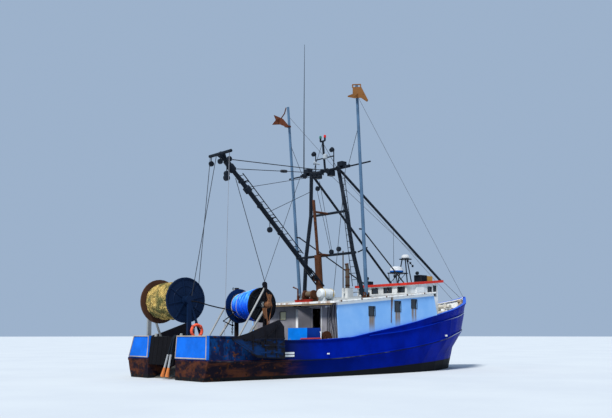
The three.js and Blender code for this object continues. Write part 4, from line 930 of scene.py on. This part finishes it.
# Trawl doors: shoe, brackets, bridle chain and a hanging block
for side, word in SIDES:
    kit = Kit("trawl_door_gear_" + word, DOOR_STEEL)
    y = side * 3.5
    kit.tube([(-9.93, y, 1.75), (-9.15, y, 1.36), (-8.6, y, 1.0), (-7.1, y, 0.92)], 0.045, 6)
    kit.tube([(-9.95, y, 1.78), (-9.15, y, 1.98), (-7.43, y, 2.57), (-7.16, y, 2.3)], 0.03, 6)
    for x, low, high in ((-8.9, 1.3, 1.95), (-8.2, 1.0, 2.2), (-7.6, 1.0, 2.4)):
        kit.box((x, side * 3.55, (low + high) / 2), (0.06, 0.05, high - low))
    kit.chain((-7.5, side * 3.56, 2.35), (-8.4, side * 3.57, 1.6), 0.014)
    kit.chain((-9.4, side * 3.56, 1.75), (-8.4, side * 3.57, 1.6), 0.014)
    kit.disc(0.02, 0.09, 0.03, (-8.4, side * 3.575, 1.56), sides=12, bevel=0.005)
    kit.done()

# Winches: wire on the drums, and a motor with its pipe on each frame
for side, word in SIDES:
    kit = Kit("winch_wire_" + word, WIRE, "winch_drum_" + word)
    drum = Vector((-3.83, side * 2.45, 1.75))
    kit.tube([about_y(drum, 0.305, 2 * pi * step / 14, 0.57 * step / (26 * 14) - 0.285)
                for step in range(26 * 14)], 0.012, 5)
    kit.done()
    kit = Kit("winch_motor_" + word, GREY_STEEL)
    y = side * 1.95
    kit.lathe([(0.05, 0), (0.14, 0.01), (0.14, 0.22), (0.08, 0.25)], (-3.83, y, 1.75), (0, -side, 0), 14)
    y -= side * 0.1
    kit.tube([(-3.83, y, 1.88), (-3.83, y, 2.1), (-3.5, y, 2.2), (-3.4, y, 1.2)], 0.02, 6)
    kit.done()

# Transom panels and ramp: welded frames with rusty edges, and rollers beside the ramp
kit = Kit("transom_frames", painted("frame_tan", (0.44, 0.39, 0.34), 0.4, 0.3, 0.7))
for inner, outer in ((-0.83, -3.1), (1.5, 3.1)):
    sway = -0.18 if outer < 0 else 0.18
    corners = [(-11, inner, 0.95), (-10.86, inner + 0.12, 1.88), (-10.86, outer - sway, 1.88),
               (-11, outer, 0.95)]
    kit.tube(corners, 0.028, 6, closed=True)
kit.done()
kit = Kit("ramp_rollers", GREY_STEEL)
for y in (-0.72, 1.35):
    kit.disc(0.05, 0.07, 0.55, (-10.7, y, 1.45), (0.14, 0, 1), bevel=0.03)
kit.done()

# Reels: hubs, spokes, ring stiffeners, motors and chains
for body, centre, half, radius, colour in (("aft_reel", AFT_REEL, 1.02, 0.94, NAVY_STEEL),
                                           ("forward_reel", FORE_REEL, 0.85, 0.775, BLACK_STEEL)):
    kit = Kit(body + "_spokes", colour, body)
    for side in (-1, 1):
        face = centre + Vector((0, side * (half + 0.04), 0))
        kit.lathe([(0.2, -0.005), (0.2, 0.05), (0.13, 0.07), (0.13, 0.11)], face, (0, side, 0), 18)
        for turn in range(8):
            angle = pi * turn / 4 + 0.2
            middle = about_y(face, radius * 0.58, angle, side * 0.012)
            kit.box(middle, (radius * 0.8, 0.03, 0.06), (0, -degrees(angle), 0))
        ring = [about_y(face, radius * 0.66, turn * pi / 16) for turn in range(32)]
        kit.tube(ring, 0.018, 6, closed=True)
    kit.done()
kit = Kit("reel_motors", RUSTY)
for centre, end, radius in ((AFT_REEL, 2.01, 0.16), (FORE_REEL, 1.16, 0.15)):
    kit.lathe([(0.06, 0.012), (radius, 0.02), (radius, 0.2), (0.09, 0.24)],
              centre + Vector((0, end, 0)), (0, 1, 0))
    for x in (-0.1, 0.1):
        kit.tube([centre + Vector((x, end - 0.06, 0.14)), centre + Vector((x, end + 0.1, 0.13))], 0.02, 6)
kit.done()
kit = Kit("reel_gallows", painted("gallows_grey", (0.36, 0.37, 0.37), 0.3, 0.3, 0.6))
for side in (-1, 1):
    kit.tube([(-6.34, side * 1.18, 4.15), (-8.43, side * 1.18, 0.95)], 0.045, 8)
    kit.box((-8.43, side * 1.18, 0.95), (0.26, 0.2, 0.05))
kit.done()
kit = Kit("gallows_chains", DOOR_STEEL)
for side in (-1, 1):
    kit.chain((-6.38, side * 1.22, 4.2), (-6.42, side * 1.22, 2.0), 0.016)
    kit.chain((-6.3, side * 1.24, 4.1), (-6.28, side * 1.24, 2.6), 0.014)
kit.tube([(-10.44, -1.17, 3.4), (-10.1, -1.22, 3.36), (-9.4, -1.05, 3.24), (-8.6, -0.7, 3.16),
          (-8.0, -0.4, 3.13), (-7.3, -0.2, 3.0), (-7.2, 0.9, 2.6), (-6.5, 1.15, 2.4), (-6.36, 1.19, 2.4)],
         0.028, 8)
kit.disc(0.03, 0.13, 0.05, (-6.36, -1.2, 4.3))
kit.tube([(-6.25, -1.1, 4.24), (-6.25, -1.1, 4.4)], 0.05, 8)
kit.done()
kit = Kit("reel_drive", painted("drive_rust", (0.22, 0.1, 0.05), 0.7, 0.4, 0.7))
kit.lathe([(0.05, 0.01), (0.16, 0.02), (0.16, 0.2), (0.09, 0.26)], (-6.25, -1.16, 3.34), (0, -1, 0), 14)
kit.box((-6.12, -1.24, 3.62), (0.16, 0.14, 0.42), (0, 12, 0))
kit.box((-6.36, -1.22, 2.95), (0.14, 0.12, 0.5), (0, -10, 0))
kit.tube([(-6.3, -1.26, 3.9), (-6.18, -1.3, 3.5), (-6.34, -1.3, 3.1), (-6.22, -1.26, 2.5),
          (-6.3, -1.22, 1.8)], 0.03, 8)
kit.tube([(-6.1, -1.24, 3.85), (-6.00, -1.3, 3.3), (-6.12, -1.28, 2.7), (-6.2, -1.24, 2.0)], 0.025, 8)
kit.done()


def bundle(name, centre, half, radius, body, material, strands, seed, thick, taper=0.0):
    """Netting wound on a drum: a lumpy body with twine that crosses it, in place of the CAD's plain solid."""
    kit = Kit(name, material, body)
    around, rows = 96, 40

    def reach(angle, y):
        share = abs(y) / half
        plain = radius * (1 - 0.1 * share ** 3) * (1 - taper * (y + half) / (2 * half))
        spot = Vector((cos(angle) * 3, y * 2.2 + seed, sin(angle) * 3))
        return plain * (0.93 + 0.055 * noise.noise(spot) + 0.03 * noise.noise(spot * 3.1))

    points = []
    for row in range(rows + 1):
        y = -half + 2 * half * row / rows
        for turn in range(around):
            angle = 2 * pi * turn / around
            points.append(about_y(centre, reach(angle, y), angle, y))
    kit.add(points, caps(rows + 1, around) + skin(rows + 1, around))
    generator = random.Random(seed)
    for strand in range(strands):
        start, slant = generator.uniform(0, 6.28), generator.uniform(-0.9, 0.9)
        y, span = generator.uniform(-half * 0.95, half * 0.95), generator.uniform(1.2, 4.5)
        path = []
        for step in range(34):
            angle = start + span * step / 33
            place = y + slant * half * (step / 33 - 0.5) + 0.04 * sin(step * 0.7 + strand)
            place = max(-half * 0.97, min(half * 0.97, place))
            path.append(about_y(centre, reach(angle, place) + thick * 0.4, angle, place))
        kit.tube(path, thick * generator.uniform(0.6, 1.3), 5)
    return kit.done(60)


aft_net = bundle("aft_net_bundle", AFT_REEL, 1.0, 0.88, "aft_reel", AFT_NET, 150, 5, 0.013)
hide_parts("aft_net")
fore_net = bundle("forward_net_bundle", FORE_REEL, 0.83, 0.77, "forward_reel", FORE_NET, 70, 9, 0.013, 0.31)
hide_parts("forward_net")

# Working lines of the boom, and the lines that steady the masthead
stay("boom_guy", (-1.2, 1.17, 9.7), boom_at(4.45, 0.1), 0.016, "boom")
stay("net_lift_port", (-9.15, 0.62, 0.95), boom_end(0.8), 0.016, "boom")
stay("net_lift_starboard", (-10.42, -1.16, 3.62), boom_end(0.3), 0.016, "boom", steps=9)
stay("net_lift_outer", (-9.95, -2.95, 1.92), boom_end(-0.72), 0.012, "boom", PALE_WIRE)
stay("fore_reel_line", (-6.25, -1.1, 4.36), boom_at(6.9, -0.16), 0.018, "boom")
stay("whip_stay", (-1.6, 0, 10.35), boom_at(6.1, 0.12), 0.014, "boom")
for side, word in SIDES:
    stay("mast_shroud_" + word, (-1.29, side * 0.9, 10.72), (-1.43, side * 0.05, 12.1), 0.012)
    stay("aft_shroud_" + word, (-3.55, side * 2.9, house_top(-3.55)), (-1.45, side * 1.75, 10.6), 0.014)
stay("forestay", (10.35, 0, 4.28), (-1.2, 0, 10.68), 0.014, None, PALE_WIRE)
stay("tackle_fall", (-1.0, -0.17, 6.2), (-1.1, 0.8, 9.75), 0.014)
stay("tackle_second", (-1.0, -0.27, 6.2), (-1.1, 0.6, 10.2), 0.014)
kit = Kit("tackle_blocks", BLACK_STEEL)
for x, y, z in ((-1.0, -0.2, 6.3), (-1.1, 0.75, 9.82), (-0.95, -0.7, 6.42)):
    kit.disc(0.03, 0.13, 0.07, (x, y, z), (1, 0, 0))
kit.tube([(-0.98, -0.69, 6.14), (-0.95, -0.7, 6.42)], 0.02, 6)
kit.tube([(-1.0, -0.2, 6.3), (-1.0, -0.2, 6.14)], 0.02, 6)
for side in (-1, 1):
    kit.tube([(-1.0, side * 2.13, 6.14), (-0.8, side * 2.62, 6.36)], 0.035, 6)
kit.done()

# The boom's heel: two arms past the pin, blocks and a clamp along the spar
kit = Kit("boom_heel", BLACK_STEEL, "boom")
for side in (-1, 1):
    arm = ((0.9, 0.13), (0.45, 0.245), (-0.62, 0.245))
    kit.tube([boom_at(along, 0, side * y) for along, y in arm], 0.04, 8)
kit.tube([boom_at(0.62, 0, -0.24), boom_at(0.62, 0, 0.24)], 0.05, 8)
for distance, radius in ((6.05, 0.19), (7.4, 0.2)):
    kit.disc(0.13, radius, 0.16, boom_at(distance), BOOM_AXIS, 12, 0.02)
for distance, drop in ((7.78, 0.44), (4.12, 0.42)):
    kit.tube([boom_at(distance), boom_at(distance) - UP * drop], 0.022, 6)
    kit.disc(0.03, 0.14, 0.07, boom_at(distance) - UP * (drop + 0.12))
kit.disc(0.03, 0.15, 0.09, boom_at(7.78) - UP * 0.76)
for side in (-1, 1):
    outline = ((0.5, 0.12), (0.1, 0.34), (0.05, 0.34), (0.05, 0.12))
    kit.plate([boom_at(BOOM_LENGTH - short, 0, side * y) for short, y in outline], 0.03)
kit.done()

# Stern: boards that close the ramp, painted black as the deep shade in its slot, and two bridles with chafing
# gear that hang in it
kit = Kit("ramp_shade_boards", painted("ramp_painted_shade", (0.006, 0.006, 0.008), 0.15, 0.2, 0.8, (0.02, 0.012, 0.01)))
for step in range(6):
    y = -0.42 + step * 0.35
    outline = ((-10.93, -1, 0.62), (-10.93, 1, 0.62), (-10.77, 1, 1.86), (-10.77, -1, 1.86))
    kit.plate([(x, y + side * 0.165, z) for x, side, z in outline], 0.06)
for z, x in ((0.9, -10.86), (1.6, -10.77)):
    kit.box((x, 0.45, z), (0.06, 2.1, 0.12))
kit.done()
bridle_wire = Kit("bridle_ends", BLACK_STEEL)
bridle_wear = Kit("bridle_chafing", painted("chafe_orange", (0.62, 0.2, 0.06), 0.0, 0.3, 0.9))
bridle_grey = Kit("bridle_sleeves", painted("chafe_grey", (0.36, 0.38, 0.4), 0.0, 0.3, 0.8))
for y, low_y in ((-0.56, 0.02), (-0.66, -0.36)):
    top = Vector((-10.98, y, 1.78))
    low = Vector((-11.1, low_y, 0.13))
    bridle_wire.tube([top + Vector((0.12, 0, 0.14)), top, top.lerp(low, 0.5)], 0.035, 8)
    bridle_grey.tube([top.lerp(low, 0.42), top.lerp(low, 0.8)], 0.05, 8)
    bridle_wear.tube([top.lerp(low, 0.76), top.lerp(low, 1.0)], [0.055, 0.095], 8)
for kit in (bridle_wire, bridle_wear, bridle_grey):
    kit.done()

# The blue sheet over the forward net, with a white line along it
kit = Kit("net_tarp", tarp_paint(), "forward_reel")
across, down = 36, 48
TARP_HALF = 0.79
tarp_rows = []
for row in range(down + 1):
    share = row / down
    angle = radians(62 + 215 * share)
    line_of_points = []
    for column in range(across + 1):
        toward = column / across
        y = -TARP_HALF + 2 * TARP_HALF * toward
        fold = 0.01 * sin(y * 19 + row * 0.3) + 0.008 * sin(y * 43 - row * 0.5)
        reach_out = 0.815 * (1 - 0.3 * toward) + 0.01 * sin(toward * pi) + fold
        line_of_points.append(about_y(FORE_REEL, reach_out, angle, y))
    tarp_rows.append(line_of_points)
stride = across + 1
corners = [row * stride + column for row in range(down) for column in range(across)]
kit.add([point for points in tarp_rows for point in points],
         [(low, low + 1, low + stride + 1, low + stride) for low in corners])
sheet = kit.done(70)
kit = Kit("tarp_lines", ROPE, "forward_reel")
kit.tube([row[24] + (row[24] - FORE_REEL).normalized() * 0.015 for row in tarp_rows[4:46:2]], 0.011, 6)
kit.tube([about_y(FORE_REEL, 0.585, turn / 3, 0.765) for turn in range(19)], 0.02, 6)
kit.done()

# Life ring: bands round it
kit = Kit("life_ring_bands", painted("ring_band", (0.55, 0.1, 0.06), 0.0, 0.3, 0.6))
RING_CENTRE = Vector((-10.17, -1.2153, 2.1))
for quarter in range(4):
    angle = pi / 4 + quarter * pi / 2
    spot, outward = about_y(RING_CENTRE, 0.27, angle), about_y(Vector(), 0.066, angle)
    for shift in (-0.03, 0, 0.03):
        middle = about_y(spot, shift, angle + pi / 2)
        kit.tube(ring_of(middle, outward, Vector((0, 0.0645, 0)), 1, 12), 0.016, 5, closed=True)
kit.done()
